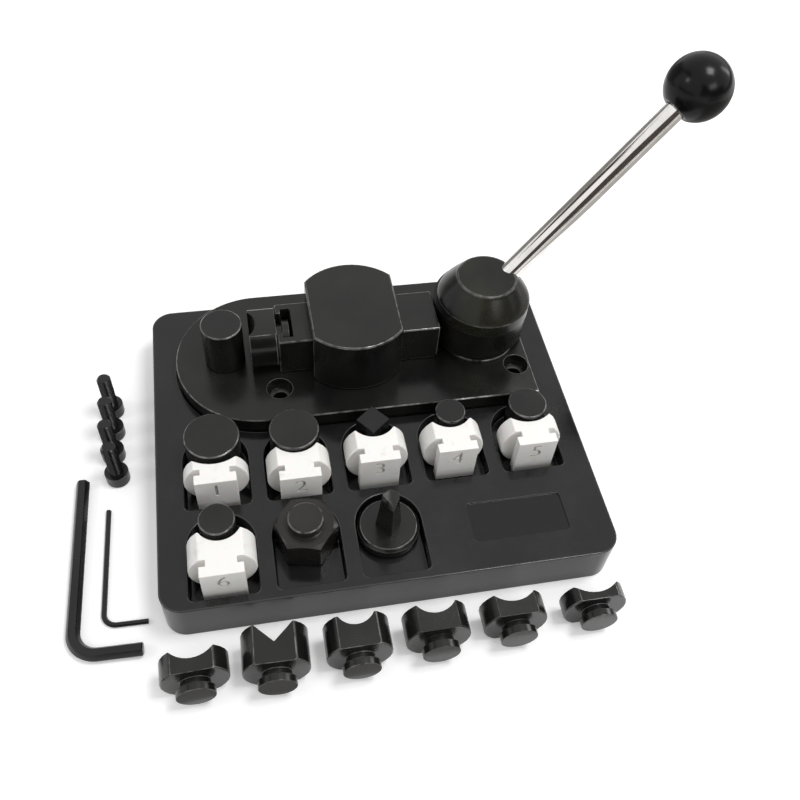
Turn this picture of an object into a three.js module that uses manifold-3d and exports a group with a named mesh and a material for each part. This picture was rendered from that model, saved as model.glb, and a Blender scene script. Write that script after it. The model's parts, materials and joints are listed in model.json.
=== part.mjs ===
// A bench-top ring bending machine with its tray of dies.
//
// Lengths are millimetres. X runs to the right, Y away from the user and Z up.
// The origin is the middle of the tray's underside, which stands on the bench.
// Turning the handle turns a cam under the hub. The cam pushes the ram to the left, and the
// ram presses a hollow female die against a male die that stands on the base plate.

import * as THREE from 'three';
import { mergeVertices } from 'three/addons/utils/BufferGeometryUtils.js';
import Module from 'manifold-3d';

// Clearances
const seatGap = 0.2; // between a piece and the face that it stands on
const sideGap = 0.25; // between a piece and the hole, slot or pocket wall round it
const runGap = 0.3; // between pieces that slide or turn past each other
const cutOverrun = 1; // how far a cutting solid runs past the face that it cuts

// Fineness of round faces, in steps for a whole turn
const largeSegments = 44;
const mediumSegments = 26;
const smallSegments = 16;
const hiddenSegments = 12;
const cornerSegments = 12;
const pocketSegments = 24;
const recessSegments = 48;
const blockSegments = 52;
const ballSteps = 9;

// Tray
const trayHeight = 20;
const trayCornerRadius = 9;
const trayEdgeChamfer = 0.6;
const trayWall = 3;
const trayFloor = 3;
const trayRib = 2;
const trayBossWall = 2.2;
const trayCellColumns = 6;
const trayCellRows = 6;

// Die pockets: one row of five, and a row of three in front of it
const pocketHalfWidth = 13.2;
const pocketDepth = 7;
const pocketCornerRadius = 2;
const pocketSideMargin = 11.1; // the outer pockets to the tray's sides
const backPockets = 5;
const backPocketLength = 20.7; // front edge to the middle of the round end
const firstPocketLength = 23.3;
const frontPockets = 3;
const frontPocketLength = 22.6;
const frontPocketMargin = 3.8; // the front row to the tray's front
const pocketRowGap = 3.4; // the front row's round ends to the back row

// Label recess
const labelWidth = 39.5;
const labelDepth = 17.5;
const labelRightMargin = 37.7; // the label's middle to the tray's right side
const labelFrontMargin = 21.2; // and to the tray's front
const labelSunk = 0.6;
const labelCornerRadius = 1.5;

// Base plate
const plateLength = 155.8;
const plateHalfWidth = 36.4;
const plateLeftMargin = 10.7; // from the plate to the tray's sides, the pockets and the tray's back
const plateRightMargin = 13.5;
const plateFrontMargin = 1.1;
const plateBackMargin = 1.2;
const plateThickness = 12;
const plateSunk = 5;
const plateChamfer = 0.4;
const plateRecessGap = 0.5;

// M6 cap screws and the holes for them
const screwShank = 6;
const screwHead = 10;
const screwHeadHeight = 6;
const screwLength = 18;
const screwSocket = 5; // across flats
const screwSocketDepth = 3;
const screwChamfer = 0.5;
const screwHole = 6.6;
const screwCounterbore = 11;
const screwCounterboreDepth = 6.5;
const benchHoleLeftInset = 43.3;
const benchHoleRightInset = 6.5;
const benchHolePitchY = 40;

// Guide block
const blockShare = 0.4744; // how far along the ram the block's middle stands
const blockRadius = 25.3;
const blockHalfLength = 19.1; // middle to each of its two flats
const blockHeight = 26.6;
const blockChamfer = 0.5;
const blockScrewPitchX = 18;
const blockScrewPitchY = 35;
const blockScrewLength = 16;

// Ram and its T-slot
const ramFrontOffset = 23; // the male die's middle to the ram's front
const ramHalfWidth = 11.4;
const ramHeight = 19.1;
const ramChamfer = 0.4;
const slotNeckHalfWidth = 5.9;
const slotLength = 4.3;
const slotHalfWidth = 8.2;

// Return spring and its pin
const springPinOffset = 8.4; // the pin to the guide block's middle
const springPinDiameter = 5;
const springPinDepth = 10;
const springPinHeight = 6.5;
const springDiameter = 6.6;
const springWire = 0.9;
const springTurns = 9;
const springLength = 16.8;
const springGrooveFront = 5; // pin's face to the groove's front end
const springGrooveSideGap = 0.4;
const springPlateGap = 0.7;
const coilSteps = 8;
const wireSides = 5;

// Hub, cam and pivot
const hubInset = 20.2; // the hub's axis to the plate's right end
const camReach = 20.8; // hub's axis to the cam's face, at rest
const camLift = 3.2; // ram travel for each radian of the handle
const camCloseAngle = 55; // degrees that the handle turns to close the dies
const camOpenAngle = 80; // degrees that it turns to open them
const camSpareAngle = 6; // degrees that the lifting face runs on past each end
const camSteps = 48;
const camFreeAngle = 158.5; // degrees from the resting contact to the free side's widest look
const camFreeReach = 20.3;
const camFreeSlope = 4; // how fast the free side grows there, for each radian
const hubRadius = 20.3;
const hubBandHeight = 5.6;
const hubTopRadius = 13.2;
const hubHeight = 35.2; // from the cam's underside to the flat top
const hubEdge = 0.6;
const hubShoulderSteps = 4;
const hubShoulderShare = 0.15; // how far the shoulder bulges over a plain cone
const hubRamGap = 0.8; // ram's top to the underside of the hub's wide band
const shaftDiameter = 14;
const shaftInHub = 15;
const bushWall = 2;
const thrustWasherRadius = 17.5;
const thrustWasherThickness = 1.3;
const thrustWasherChamfer = 0.4;
const retainingHead = 10.5;
const retainingHeadHeight = 3.3;
const retainingScrewLength = 12;
const retainingWasherThickness = 1.5;
const retainingWasherOverlap = 2; // how far the washer reaches past the shaft
const retainingSocket = 4;
const retainingSocketDepth = 2;

// Handle
const rodDiameter = 9;
const rodRootZ = 50.5; // where the rod's line meets the hub's axis
const rodAzimuth = 18.6; // degrees from X, at rest
const rodElevation = 41.7;
const rodHubEnd = 5.5; // hub's axis to the rod's end in the hub
const ballDistance = 121.7; // hub's axis to the ball's middle, along the rod
const ballDiameter = 28;
const ballCollarRadius = 6.4;
const ballBoreDepth = 15;
const setScrewDiameter = 4;
const setScrewLength = 8;
const setScrewSocket = 2;
const setScrewSocketDepth = 2;
const setScrewAlongRod = 11; // hub's axis to the set screw, along the rod

// Male dies
const dieDowelInset = 21.4; // the dowel's axis to the plate's left end
const dieDowelDiameter = 5;
const dieDowelDepth = 8;
const dieDowelHeight = 7;
const dieBoreExtra = 1; // how much deeper than the dowel a die's bore is
const maleDieHeight = 22;
const maleDieChamfer = 0.4;
const fittedMaleDieDiameter = 17.5;
const squareDieSide = 9.9;
const squareDieTurn = 39.4;
const squareDieEdge = 0.4;

// The round male dies in their pockets: diameter, and shift from the middle of the round end
const maleDies = [
  { name: 'male_die_1', row: 0, column: 0, diameter: 22.4, shiftX: -0.1, shiftY: 1.1 },
  { name: 'male_die_2', row: 0, column: 1, diameter: 20.4, shiftX: 0.1, shiftY: 2.6 },
  { name: 'male_die_4', row: 0, column: 3, diameter: 12.8, shiftX: -0.2, shiftY: 2.9 },
  { name: 'male_die_5', row: 0, column: 4, diameter: 16.4, shiftX: 0.6, shiftY: 2.7 },
  { name: 'male_die_6', row: 1, column: 0, diameter: 14, shiftX: -0.3, shiftY: 2.2 },
];
const squareDie = { row: 0, column: 2, shiftX: -0.2, shiftY: 3.1 };

// Hexagonal die with a round post on it
const hexDie = { row: 1, column: 1, shiftX: 0, shiftY: 0.2 };
const hexDieAcross = 22;
const hexDieHeight = 14;
const hexDiePost = 14;
const hexDiePostHeight = 4;
const hexDieTurn = -10.4; // degrees
const hexDieRound = 2; // height of the turned corners at each end

// V-blade die
const bladeDie = { row: 1, column: 2, shiftX: 0, shiftY: -0.2 };
const bladeBase = 25.1;
const bladeBaseHeight = 5.5;
const bladeBaseRound = 1.2;
const bladeHeight = 21.5;
const bladeTipFoot = 5.9; // the four corners, from the base's middle, at the foot and the top
const bladeHalfFoot = 5.4;
const bladeBackFoot = 5;
const bladeTipTop = 5.6;
const bladeHalfTop = 3.3;
const bladeBackTop = 2.8;
const bladeCornerY = 0.6;

// Female dies
const femaleDieHalfHeight = 10;
const steelDieRadius = 12.6;
const steelNeckRadius = 5.6;
const steelNeckLength = 2.7;
const steelButtonRadius = 7.25;
const steelButtonLength = 2.9;
const nylonDieRadius = 13;
const nylonHeadHalfWidth = 8.25;
const nylonHeadThickness = 4.3;
const nylonNeckHalfWidth = 5.8;
const nylonNeckLength = 2.6;
const dieEdgeChamfer = 0.4;
const fittedDiePlateGap = 1; // the fitted die's lower flat to the plate
const fittedDieBody = 11.6;
const fittedNotchRadius = 9.3;
const fittedNotchDepth = 3;

// The nylon dies in their pockets: body length, notch depth and radius, sideways shift, and the
// way from the pocket's front edge to the die's head
const nylonDies = [
  { row: 0, column: 0, body: 4.9, depth: 2.9, radius: 15.4, shiftX: 0.1, front: 3 },
  { row: 0, column: 1, body: 9.2, depth: 3.8, radius: 10.6, shiftX: 0.3, front: 0.4 },
  { row: 0, column: 2, body: 9.3, depth: 4, radius: 9.6, shiftX: 0, front: 4 },
  { row: 0, column: 3, body: 8.8, depth: 3.7, radius: 9.9, shiftX: -0.4, front: 4.5 },
  { row: 0, column: 4, body: 7.7, depth: 3.3, radius: 13.2, shiftX: 0.4, front: 3.4 },
  { row: 1, column: 0, body: 11.8, depth: 4.5, radius: 8.9, shiftX: 0.2, front: 2.4 },
];

// The steel dies in a row in front of the tray: the middle of the horned end from the tray's
// left side and ahead of its front, body length, notch depth and radius, and how far each is
// turned, in degrees. The one without a radius has a V.
const steelDies = [
  { fromLeft: 10.9, ahead: 14, body: 8.8, depth: 3.6, radius: 10.6, turn: 1.8 },
  { fromLeft: 40.7, ahead: 9, body: 15.1, depth: 7.1, turn: -1.5 },
  { fromLeft: 71.2, ahead: 10.2, body: 12.8, depth: 4, radius: 7.7, turn: 0 },
  { fromLeft: 101.5, ahead: 10.5, body: 10.7, depth: 3.9, radius: 9.1, turn: 0 },
  { fromLeft: 132, ahead: 11, body: 9, depth: 3.3, radius: 11.2, turn: 0 },
  { fromLeft: 164.6, ahead: 11.9, body: 6.7, depth: 3.7, radius: 12.4, turn: 0 },
];

// Hex keys that lie on the bench to the left of the tray: the outer corner, aside of the tray and
// in front of its back, and the turn in degrees
const largeKey = { across: 5, long: 80, short: 28.6, bend: 7, aside: 36.7, fromBack: 157.8, turn: -1.4 };
const smallKey = { across: 2, long: 52.5, short: 17.9, bend: 4, aside: 24.1, fromBack: 145, turn: -1.4 };
const keyBendSteps = 6;

// Spare bench screws that stand on their heads, behind the keys
const benchScrews = [
  { aside: 20.7, fromBack: 39.5 },
  { aside: 20.2, fromBack: 52.1 },
  { aside: 20, fromBack: 64.4 },
  { aside: 18.1, fromBack: 76.3 },
];

// Heights that follow from the sizes above
const plateBottomZ = trayHeight - plateSunk;
const plateTopZ = plateBottomZ + plateThickness;
const pocketFloorZ = trayHeight - pocketDepth;
const recessFloorZ = plateBottomZ - seatGap;
const cellTopZ = pocketFloorZ - trayFloor;
const blockBottomZ = plateTopZ + seatGap;
const ramBottomZ = plateTopZ + runGap;
const ramTopZ = ramBottomZ + ramHeight;
const fittedDieZ = plateTopZ + fittedDiePlateGap + femaleDieHalfHeight;
const slotNeckLength = steelNeckLength - 2 * seatGap;
const slotFloorZ = fittedDieZ - steelButtonRadius - seatGap;
const springZ = plateTopZ + springPlateGap + springDiameter / 2;
const thrustWasherTopZ = plateTopZ + seatGap + thrustWasherThickness;
const hubBottomZ = thrustWasherTopZ + runGap;
const hubBandZ = ramTopZ + hubRamGap;
const retainingHeadTopZ = plateBottomZ + seatGap + retainingHeadHeight;
const retainingWasherTopZ = retainingHeadTopZ + seatGap + retainingWasherThickness;
const bushBottomZ = retainingWasherTopZ + runGap;
const shaftBottomZ = retainingWasherTopZ + seatGap;
const shaftTopZ = hubBottomZ + shaftInHub;
const hubTopZ = hubBottomZ + hubHeight;

// The tray's size follows from what it carries
const trayWidth = plateLeftMargin + plateLength + plateRightMargin;
const frontRowDepth = frontPocketMargin + frontPocketLength + pocketHalfWidth;
const backRowDepth = pocketRowGap + backPocketLength + pocketHalfWidth;
const trayDepth = frontRowDepth + backRowDepth + plateFrontMargin + 2 * plateHalfWidth + plateBackMargin;
const trayFrontY = -trayDepth / 2;
const frontPocketFrontY = trayFrontY + frontPocketMargin;
const backPocketFrontY = trayFrontY + frontRowDepth + pocketRowGap;
const pocketSpan = trayWidth - 2 * pocketSideMargin - 2 * pocketHalfWidth;
const pocketPitch = pocketSpan / (backPockets - 1);
const labelMiddleX = trayWidth / 2 - labelRightMargin;
const labelMiddleY = trayFrontY + labelFrontMargin;

// Places along the bender line, which posts, ram and hub stand on, and radii of the pivot
const benderLineY = trayDepth / 2 - plateBackMargin - plateHalfWidth;
const plateRightX = trayWidth / 2 - plateRightMargin;
const plateLeftX = plateRightX - plateLength;
const plateArcX = plateLeftX + plateHalfWidth;
const dieDowelX = plateLeftX + dieDowelInset;
const hubX = plateRightX - hubInset;
const ramFrontX = dieDowelX + ramFrontOffset;
const ramEndX = hubX - camReach - seatGap;
const ramLength = ramEndX - ramFrontX;
const blockMiddleX = ramFrontX + blockShare * ramLength;
const springPinX = blockMiddleX - springPinOffset;
const fittedHornX = ramFrontX - seatGap - fittedDieBody;
const springStartX = springPinX + springPinDiameter / 2 + seatGap;
const springEndX = springStartX + springLength;
const bushBore = shaftDiameter / 2 + runGap;
const bushRadius = bushBore + bushWall;
const retainingWasherRadius = shaftDiameter / 2 + retainingWasherOverlap;
const retainingPocketRadius = Math.max(retainingWasherRadius, bushRadius) + runGap + plateChamfer;
const rodRadius = rodDiameter / 2;
const ballRadius = ballDiameter / 2;
const ballCollar = Math.sqrt(ballRadius ** 2 - ballCollarRadius ** 2); // middle to the flat collar

const wasm = await Module();
wasm.setup();

/** Degrees as radians. */
const radians = (degrees) => THREE.MathUtils.degToRad(degrees);

/** A closed three.js geometry as a solid that can be joined and cut. */
function solid(geometry) {
  const bare = geometry.clone();
  bare.deleteAttribute('normal');
  bare.deleteAttribute('uv');
  bare.clearGroups();
  const merged = mergeVertices(bare);
  const corners = merged.index.array;
  const triangles = [];
  for (let i = 0; i < corners.length; i += 3) {
    const [a, b, c] = corners.slice(i, i + 3);
    if (a !== b && b !== c && c !== a) {
      triangles.push(a, b, c);
    }
  }
  const vertProperties = new Float32Array(merged.attributes.position.array);
  const triVerts = new Uint32Array(triangles);
  return new wasm.Manifold(new wasm.Mesh({ numProp: 3, vertProperties, triVerts }));
}

/** A solid as a three.js geometry. */
function surface(body) {
  const mesh = body.getMesh();
  const geometry = new THREE.BufferGeometry();
  geometry.setAttribute('position', new THREE.BufferAttribute(mesh.vertProperties, mesh.numProp));
  geometry.setIndex(new THREE.BufferAttribute(mesh.triVerts, 1));
  geometry.computeVertexNormals();
  return geometry;
}

/** A body with each of the cutting bodies taken away. */
const cutBy = (body, cutters) => cutters.reduce((left, cutter) => left.subtract(cutter), body);

/** Several bodies joined to one. */
const joined = (bodies) => bodies.reduce((sum, body) => sum.add(body));

/** The points of an arc about a middle, from one angle to another, both ends among them. */
function arc(middleX, middleY, radius, from, to, segments) {
  const steps = Math.max(1, Math.round((segments * Math.abs(to - from)) / (2 * Math.PI)));
  return Array.from({ length: steps + 1 }, (_, i) => {
    const angle = from + ((to - from) * i) / steps;
    return new THREE.Vector2(middleX + radius * Math.cos(angle), middleY + radius * Math.sin(angle));
  });
}

/** An upright prism of an outline. */
function prism(outline, bottom, top) {
  const geometry = new THREE.ExtrudeGeometry(outline, { depth: top - bottom, bevelEnabled: false });
  return geometry.translate(0, 0, bottom);
}

/** An upright prism with its upper and lower edges chamfered. */
function chamferedPrism(outline, bottom, top, chamfer) {
  const geometry = new THREE.ExtrudeGeometry(outline, {
    depth: top - bottom - 2 * chamfer,
    bevelThickness: chamfer,
    bevelSize: chamfer,
    bevelOffset: -chamfer,
    bevelSegments: 1,
  });
  return geometry.translate(0, 0, bottom + chamfer);
}

/** A round body about Z, from its profile of [radius, height] points, lowest first. */
function turned(profile, segments) {
  const points = profile.map(([radius, height]) => new THREE.Vector2(radius, height));
  return new THREE.LatheGeometry(points, segments).rotateX(Math.PI / 2);
}

/** A plain round bar about Z. */
const bar = (radius, bottom, top, segments) =>
  turned([[0, bottom], [radius, bottom], [radius, top], [0, top]], segments);

/** A round bar about Z with its upper edge chamfered. */
const chamferedBar = (radius, bottom, top, chamfer, segments) => turned([
  [0, bottom],
  [radius, bottom],
  [radius, top - chamfer],
  [radius - chamfer, top],
  [0, top],
], segments);

/** A washer or bush about Z, its upper outer edge chamfered where asked. */
function ring(inner, outer, bottom, top, chamfer, segments) {
  const outside = chamfer > 0
    ? chamferedBar(outer, bottom, top, chamfer, segments)
    : bar(outer, bottom, top, segments);
  return solid(outside).subtract(solid(bar(inner, bottom - cutOverrun, top + cutOverrun, segments)));
}

/** A block between two corners. */
function block([left, front, bottom], [right, back, top]) {
  const geometry = new THREE.BoxGeometry(right - left, back - front, top - bottom);
  return geometry.translate((left + right) / 2, (front + back) / 2, (bottom + top) / 2);
}

/** A hexagonal bar about Z, of a size across flats, with two flats parallel to X at no turn. */
function hexagon(across, bottom, top, turn = 0) {
  const radius = across / Math.sqrt(3);
  const geometry = new THREE.CylinderGeometry(radius, radius, top - bottom, 6);
  return geometry.rotateX(Math.PI / 2).rotateZ(Math.PI / 6 + turn).translate(0, 0, (bottom + top) / 2);
}

/** A rectangle with round corners, as a shape about a middle. */
function roundedRectangle(width, depth, radius, middleX = 0, middleY = 0, segments = cornerSegments) {
  const x = width / 2 - radius;
  const y = depth / 2 - radius;
  const corners = [[x, -y], [x, y], [-x, y], [-x, -y]];
  return new THREE.Shape(corners.flatMap(([cornerX, cornerY], i) => {
    const from = ((i - 1) * Math.PI) / 2;
    return arc(middleX + cornerX, middleY + cornerY, radius, from, from + Math.PI / 2, segments);
  }));
}

/** A centre line whose stations are spread evenly by its parameter, so that bends get more. */
class StationCurve extends THREE.Curve {
  constructor(pointAt) {
    super();
    this.pointAt = pointAt;
  }

  getPoint(t) {
    return this.pointAt(t);
  }

  getUtoTmapping(u) {
    return u;
  }
}

/** A bar of one section, swept along a centre line. */
const swept = (section, line, steps) =>
  new THREE.ExtrudeGeometry(section, { extrudePath: line, steps, bevelEnabled: false, curveSegments: 1 });

/** A regular section with some number of corners. */
function polygon(radius, corners, turn = 0) {
  const points = Array.from({ length: corners }, (_, i) => {
    const angle = turn + (2 * Math.PI * i) / corners;
    return new THREE.Vector2(radius * Math.cos(angle), radius * Math.sin(angle));
  });
  return new THREE.Shape(points);
}

/** The four places of the bench screws' holes. */
function benchHolePlaces() {
  const across = [plateLeftX + benchHoleLeftInset, plateRightX - benchHoleRightInset];
  return across.flatMap((x) => [-1, 1].map((side) => [x, benderLineY + (side * benchHolePitchY) / 2]));
}

/** The four places of the guide block's screws. */
function blockScrewPlaces() {
  return [-1, 1].flatMap((sideY) => [-1, 1].map((sideX) => [
    blockMiddleX + (sideX * blockScrewPitchX) / 2,
    benderLineY + (sideY * blockScrewPitchY) / 2,
  ]));
}

/** The base plate's outline, or the outline of its recess when it is grown by a gap. */
function plateOutline(gap) {
  const half = plateHalfWidth + gap;
  return new THREE.Shape([
    new THREE.Vector2(plateRightX + gap, benderLineY - half),
    new THREE.Vector2(plateRightX + gap, benderLineY + half),
    ...arc(plateArcX, benderLineY, half, Math.PI / 2, 1.5 * Math.PI, recessSegments),
  ]);
}

/** One die pocket's outline: a straight front with small corners and a round back. */
function pocketOutline(middleX, frontY, length) {
  const radius = pocketCornerRadius;
  const inner = pocketHalfWidth - radius;
  return new THREE.Shape([
    ...arc(middleX + inner, frontY + radius, radius, -Math.PI / 2, 0, cornerSegments),
    ...arc(middleX, frontY + length, pocketHalfWidth, 0, Math.PI, pocketSegments),
    ...arc(middleX - inner, frontY + radius, radius, Math.PI, 1.5 * Math.PI, cornerSegments),
  ]);
}

/** A pocket's place: its middle across, front edge and length to the middle of the round end. */
function pocketPlace({ row, column }) {
  const middleX = (column - (backPockets - 1) / 2) * pocketPitch;
  if (row > 0) {
    return { middleX, frontY: frontPocketFrontY, length: frontPocketLength };
  }
  return { middleX, frontY: backPocketFrontY, length: column === 0 ? firstPocketLength : backPocketLength };
}

/** The outlines of all die pockets. */
function pocketOutlines() {
  return [backPockets, frontPockets].flatMap((count, row) => Array.from({ length: count }, (_, column) => {
    const { middleX, frontY, length } = pocketPlace({ row, column });
    return pocketOutline(middleX, frontY, length);
  }));
}

/** The hollow under the tray: its cells, without their ribs and the screw bosses. */
function trayCells() {
  const innerWidth = trayWidth - 2 * trayWall;
  const innerDepth = trayDepth - 2 * trayWall;
  const radius = trayCornerRadius - trayWall;
  const hollow = solid(prism(roundedRectangle(innerWidth, innerDepth, radius), -cutOverrun, cellTopZ));
  const ribs = [];
  for (let i = 1; i < trayCellColumns; i += 1) {
    const x = -innerWidth / 2 + (i * innerWidth) / trayCellColumns;
    ribs.push(solid(block(
      [x - trayRib / 2, trayFrontY, -2 * cutOverrun],
      [x + trayRib / 2, trayDepth / 2, trayHeight],
    )));
  }
  for (let i = 1; i < trayCellRows; i += 1) {
    const y = -innerDepth / 2 + (i * innerDepth) / trayCellRows;
    ribs.push(solid(block(
      [-trayWidth / 2, y - trayRib / 2, -2 * cutOverrun],
      [trayWidth / 2, y + trayRib / 2, trayHeight],
    )));
  }
  const bosses = benchHolePlaces().map(([x, y]) =>
    solid(bar(screwHole / 2 + trayBossWall, -2 * cutOverrun, trayHeight, smallSegments).translate(x, y, 0)));
  return cutBy(hollow, [...ribs, ...bosses]);
}

/** The moulded tray. Its recess for the plate is open at the back, where no wall would fit. */
function makeTray() {
  const outline = roundedRectangle(trayWidth, trayDepth, trayCornerRadius);
  const body = solid(chamferedPrism(outline, 0, trayHeight, trayEdgeChamfer));
  const above = trayHeight + cutOverrun;
  const pockets = pocketOutlines().map((shape) => solid(prism(shape, pocketFloorZ, above)));
  const recess = solid(prism(plateOutline(plateRecessGap), recessFloorZ, above));
  const wallBackY = trayDepth / 2 - trayWall - benderLineY;
  const openX = plateArcX - Math.sqrt((plateHalfWidth + plateRecessGap) ** 2 - wallBackY ** 2);
  const openBack = solid(block(
    [openX, benderLineY, recessFloorZ],
    [plateRightX + plateRecessGap, trayDepth / 2 + cutOverrun, above],
  ));
  const label = solid(prism(
    roundedRectangle(labelWidth, labelDepth, labelCornerRadius, labelMiddleX, labelMiddleY),
    trayHeight - labelSunk,
    above,
  ));
  const holes = benchHolePlaces().map(([x, y]) =>
    solid(bar(screwHole / 2, -cutOverrun, trayHeight, smallSegments).translate(x, y, 0)));
  return cutBy(body, [...pockets, recess, openBack, label, trayCells(), ...holes]);
}

/** The base plate with every hole that its pieces stand in. */
function makeBasePlate() {
  const body = solid(chamferedPrism(plateOutline(0), plateBottomZ, plateTopZ, plateChamfer));
  const below = plateBottomZ - cutOverrun;
  const above = plateTopZ + cutOverrun;
  const hole = (radius, bottom, top, x, y, segments = smallSegments) =>
    solid(bar(radius, bottom, top, segments).translate(x, y, 0));
  const holes = [];
  for (const [x, y] of benchHolePlaces()) {
    holes.push(hole(screwHole / 2, below, above, x, y));
    holes.push(hole(screwCounterbore / 2, plateTopZ - screwCounterboreDepth, above, x, y));
  }
  const ledge = plateBottomZ + screwHeadHeight + 2 * seatGap;
  for (const [x, y] of blockScrewPlaces()) {
    holes.push(hole(screwHole / 2, below, plateTopZ + cutOverrun, x, y, hiddenSegments));
    holes.push(hole(screwHead / 2 + sideGap, below, ledge, x, y, hiddenSegments));
  }
  holes.push(hole(
    dieDowelDiameter / 2 + sideGap,
    plateTopZ - dieDowelDepth - seatGap,
    above,
    dieDowelX,
    benderLineY,
  ));
  holes.push(hole(
    springPinDiameter / 2 + sideGap,
    plateTopZ - springPinDepth - seatGap,
    above,
    springPinX,
    benderLineY,
    hiddenSegments,
  ));
  holes.push(hole(bushRadius + sideGap, below, above, hubX, benderLineY));
  holes.push(hole(retainingPocketRadius, below, bushBottomZ, hubX, benderLineY));
  return cutBy(body, holes);
}

/** The guide block: a short round column with two flats, and the ram's slot through it. */
function makeGuideBlock() {
  const flat = Math.acos(blockHalfLength / blockRadius);
  const outline = new THREE.Shape([
    ...arc(blockMiddleX, benderLineY, blockRadius, flat, Math.PI - flat, blockSegments),
    ...arc(blockMiddleX, benderLineY, blockRadius, Math.PI + flat, 2 * Math.PI - flat, blockSegments),
  ]);
  const body = solid(chamferedPrism(outline, blockBottomZ, blockBottomZ + blockHeight, blockChamfer));
  const slotHalf = ramHalfWidth + runGap;
  const slot = solid(block(
    [blockMiddleX - blockHalfLength - cutOverrun, benderLineY - slotHalf, blockBottomZ - cutOverrun],
    [blockMiddleX + blockHalfLength + cutOverrun, benderLineY + slotHalf, ramTopZ + runGap],
  ));
  const holeTop = plateBottomZ + seatGap + screwHeadHeight + blockScrewLength + cutOverrun;
  const holes = blockScrewPlaces().map(([x, y]) => solid(bar(
    screwShank / 2 + sideGap,
    blockBottomZ - cutOverrun,
    holeTop,
    hiddenSegments,
  ).translate(x, y, 0)));
  return cutBy(body, [slot, ...holes]);
}

/**
 * The ram, with the T-slot for a female die's button, and underneath it the spring's groove and
 * the relief that lets its end pass over the thrust washer.
 */
function makeRam() {
  const outline = roundedRectangle(
    ramLength,
    2 * ramHalfWidth,
    ramChamfer,
    ramFrontX + ramLength / 2,
    benderLineY,
    1,
  );
  const body = solid(chamferedPrism(outline, ramBottomZ, ramTopZ, ramChamfer));
  const slotZ = ramTopZ + cutOverrun;
  const neckEndX = ramFrontX + slotNeckLength;
  const neck = solid(block(
    [ramFrontX - cutOverrun, benderLineY - slotNeckHalfWidth, slotFloorZ],
    [neckEndX + slotLength / 2, benderLineY + slotNeckHalfWidth, slotZ],
  ));
  const slot = solid(block(
    [neckEndX, benderLineY - slotHalfWidth, slotFloorZ],
    [neckEndX + slotLength, benderLineY + slotHalfWidth, slotZ],
  ));
  const grooveHalf = springDiameter / 2 + springGrooveSideGap;
  const groove = solid(block(
    [springPinX - springPinDiameter / 2 - springGrooveFront, benderLineY - grooveHalf, plateTopZ],
    [springEndX + seatGap, benderLineY + grooveHalf, springZ + grooveHalf],
  ));
  const washerEdgeX = hubX - thrustWasherRadius - runGap;
  const relief = solid(block(
    [washerEdgeX - camLift * radians(camOpenAngle), benderLineY - ramHalfWidth - cutOverrun, plateTopZ],
    [ramEndX + cutOverrun, benderLineY + ramHalfWidth + cutOverrun, hubBottomZ],
  ));
  return cutBy(body, [neck, slot, groove, relief]);
}

/** The return spring: one helix of wire along X. */
function makeReturnSpring() {
  const wireRadius = springWire / 2;
  const coilRadius = springDiameter / 2 - wireRadius;
  const reach = springLength - springWire;
  const line = new StationCurve((t) => new THREE.Vector3(
    springStartX + wireRadius + t * reach,
    benderLineY + coilRadius * Math.cos(2 * Math.PI * springTurns * t),
    springZ + coilRadius * Math.sin(2 * Math.PI * springTurns * t),
  ));
  const pitch = springLength / springTurns;
  console.log(`return spring: least gap between coils ${(pitch - springWire).toFixed(2)} mm`);
  return solid(swept(polygon(wireRadius, wireSides), line, springTurns * coilSteps));
}

/** A cubic between two stations of a cam: its reach and its slope at an angle between them. */
function camRise(from, to, angle) {
  const span = to.angle - from.angle;
  const t = (angle - from.angle) / span;
  const rise = to.reach - from.reach;
  const start = span * from.slope;
  const end = span * to.slope;
  const reach = from.reach + rise * (3 * t ** 2 - 2 * t ** 3)
    + start * (t ** 3 - 2 * t ** 2 + t) + end * (t ** 3 - t ** 2);
  const slope = rise * (6 * t - 6 * t ** 2) + start * (3 * t ** 2 - 4 * t + 1) + end * (3 * t ** 2 - 2 * t);
  return [reach, slope / span];
}

/**
 * The cam's outline. A flat face pressed on it from one direction stands at the outline's
 * support distance, which falls evenly with the angle over the lifting face, so the ram moves
 * by the same length for each degree of the handle. Two cubics close the free side.
 */
function camOutline() {
  const close = radians(camCloseAngle + camSpareAngle);
  const open = radians(camOpenAngle + camSpareAngle);
  const first = Math.PI - close;
  const lowest = { angle: Math.PI + open, reach: camReach - camLift * open, slope: -camLift };
  const free = { angle: Math.PI + radians(camFreeAngle), reach: camFreeReach, slope: camFreeSlope };
  const highest = { angle: first + 2 * Math.PI, reach: camReach + camLift * close, slope: -camLift };
  const support = (angle) => {
    if (angle <= lowest.angle) {
      return [camReach - camLift * (angle - Math.PI), -camLift];
    }
    return angle <= free.angle ? camRise(lowest, free, angle) : camRise(free, highest, angle);
  };
  const points = Array.from({ length: camSteps }, (_, i) => {
    const angle = first + (2 * Math.PI * i) / camSteps;
    const [reach, slope] = support(angle);
    return new THREE.Vector2(
      reach * Math.cos(angle) - slope * Math.sin(angle),
      reach * Math.sin(angle) + slope * Math.cos(angle),
    );
  });
  return new THREE.Shape(points);
}

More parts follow.
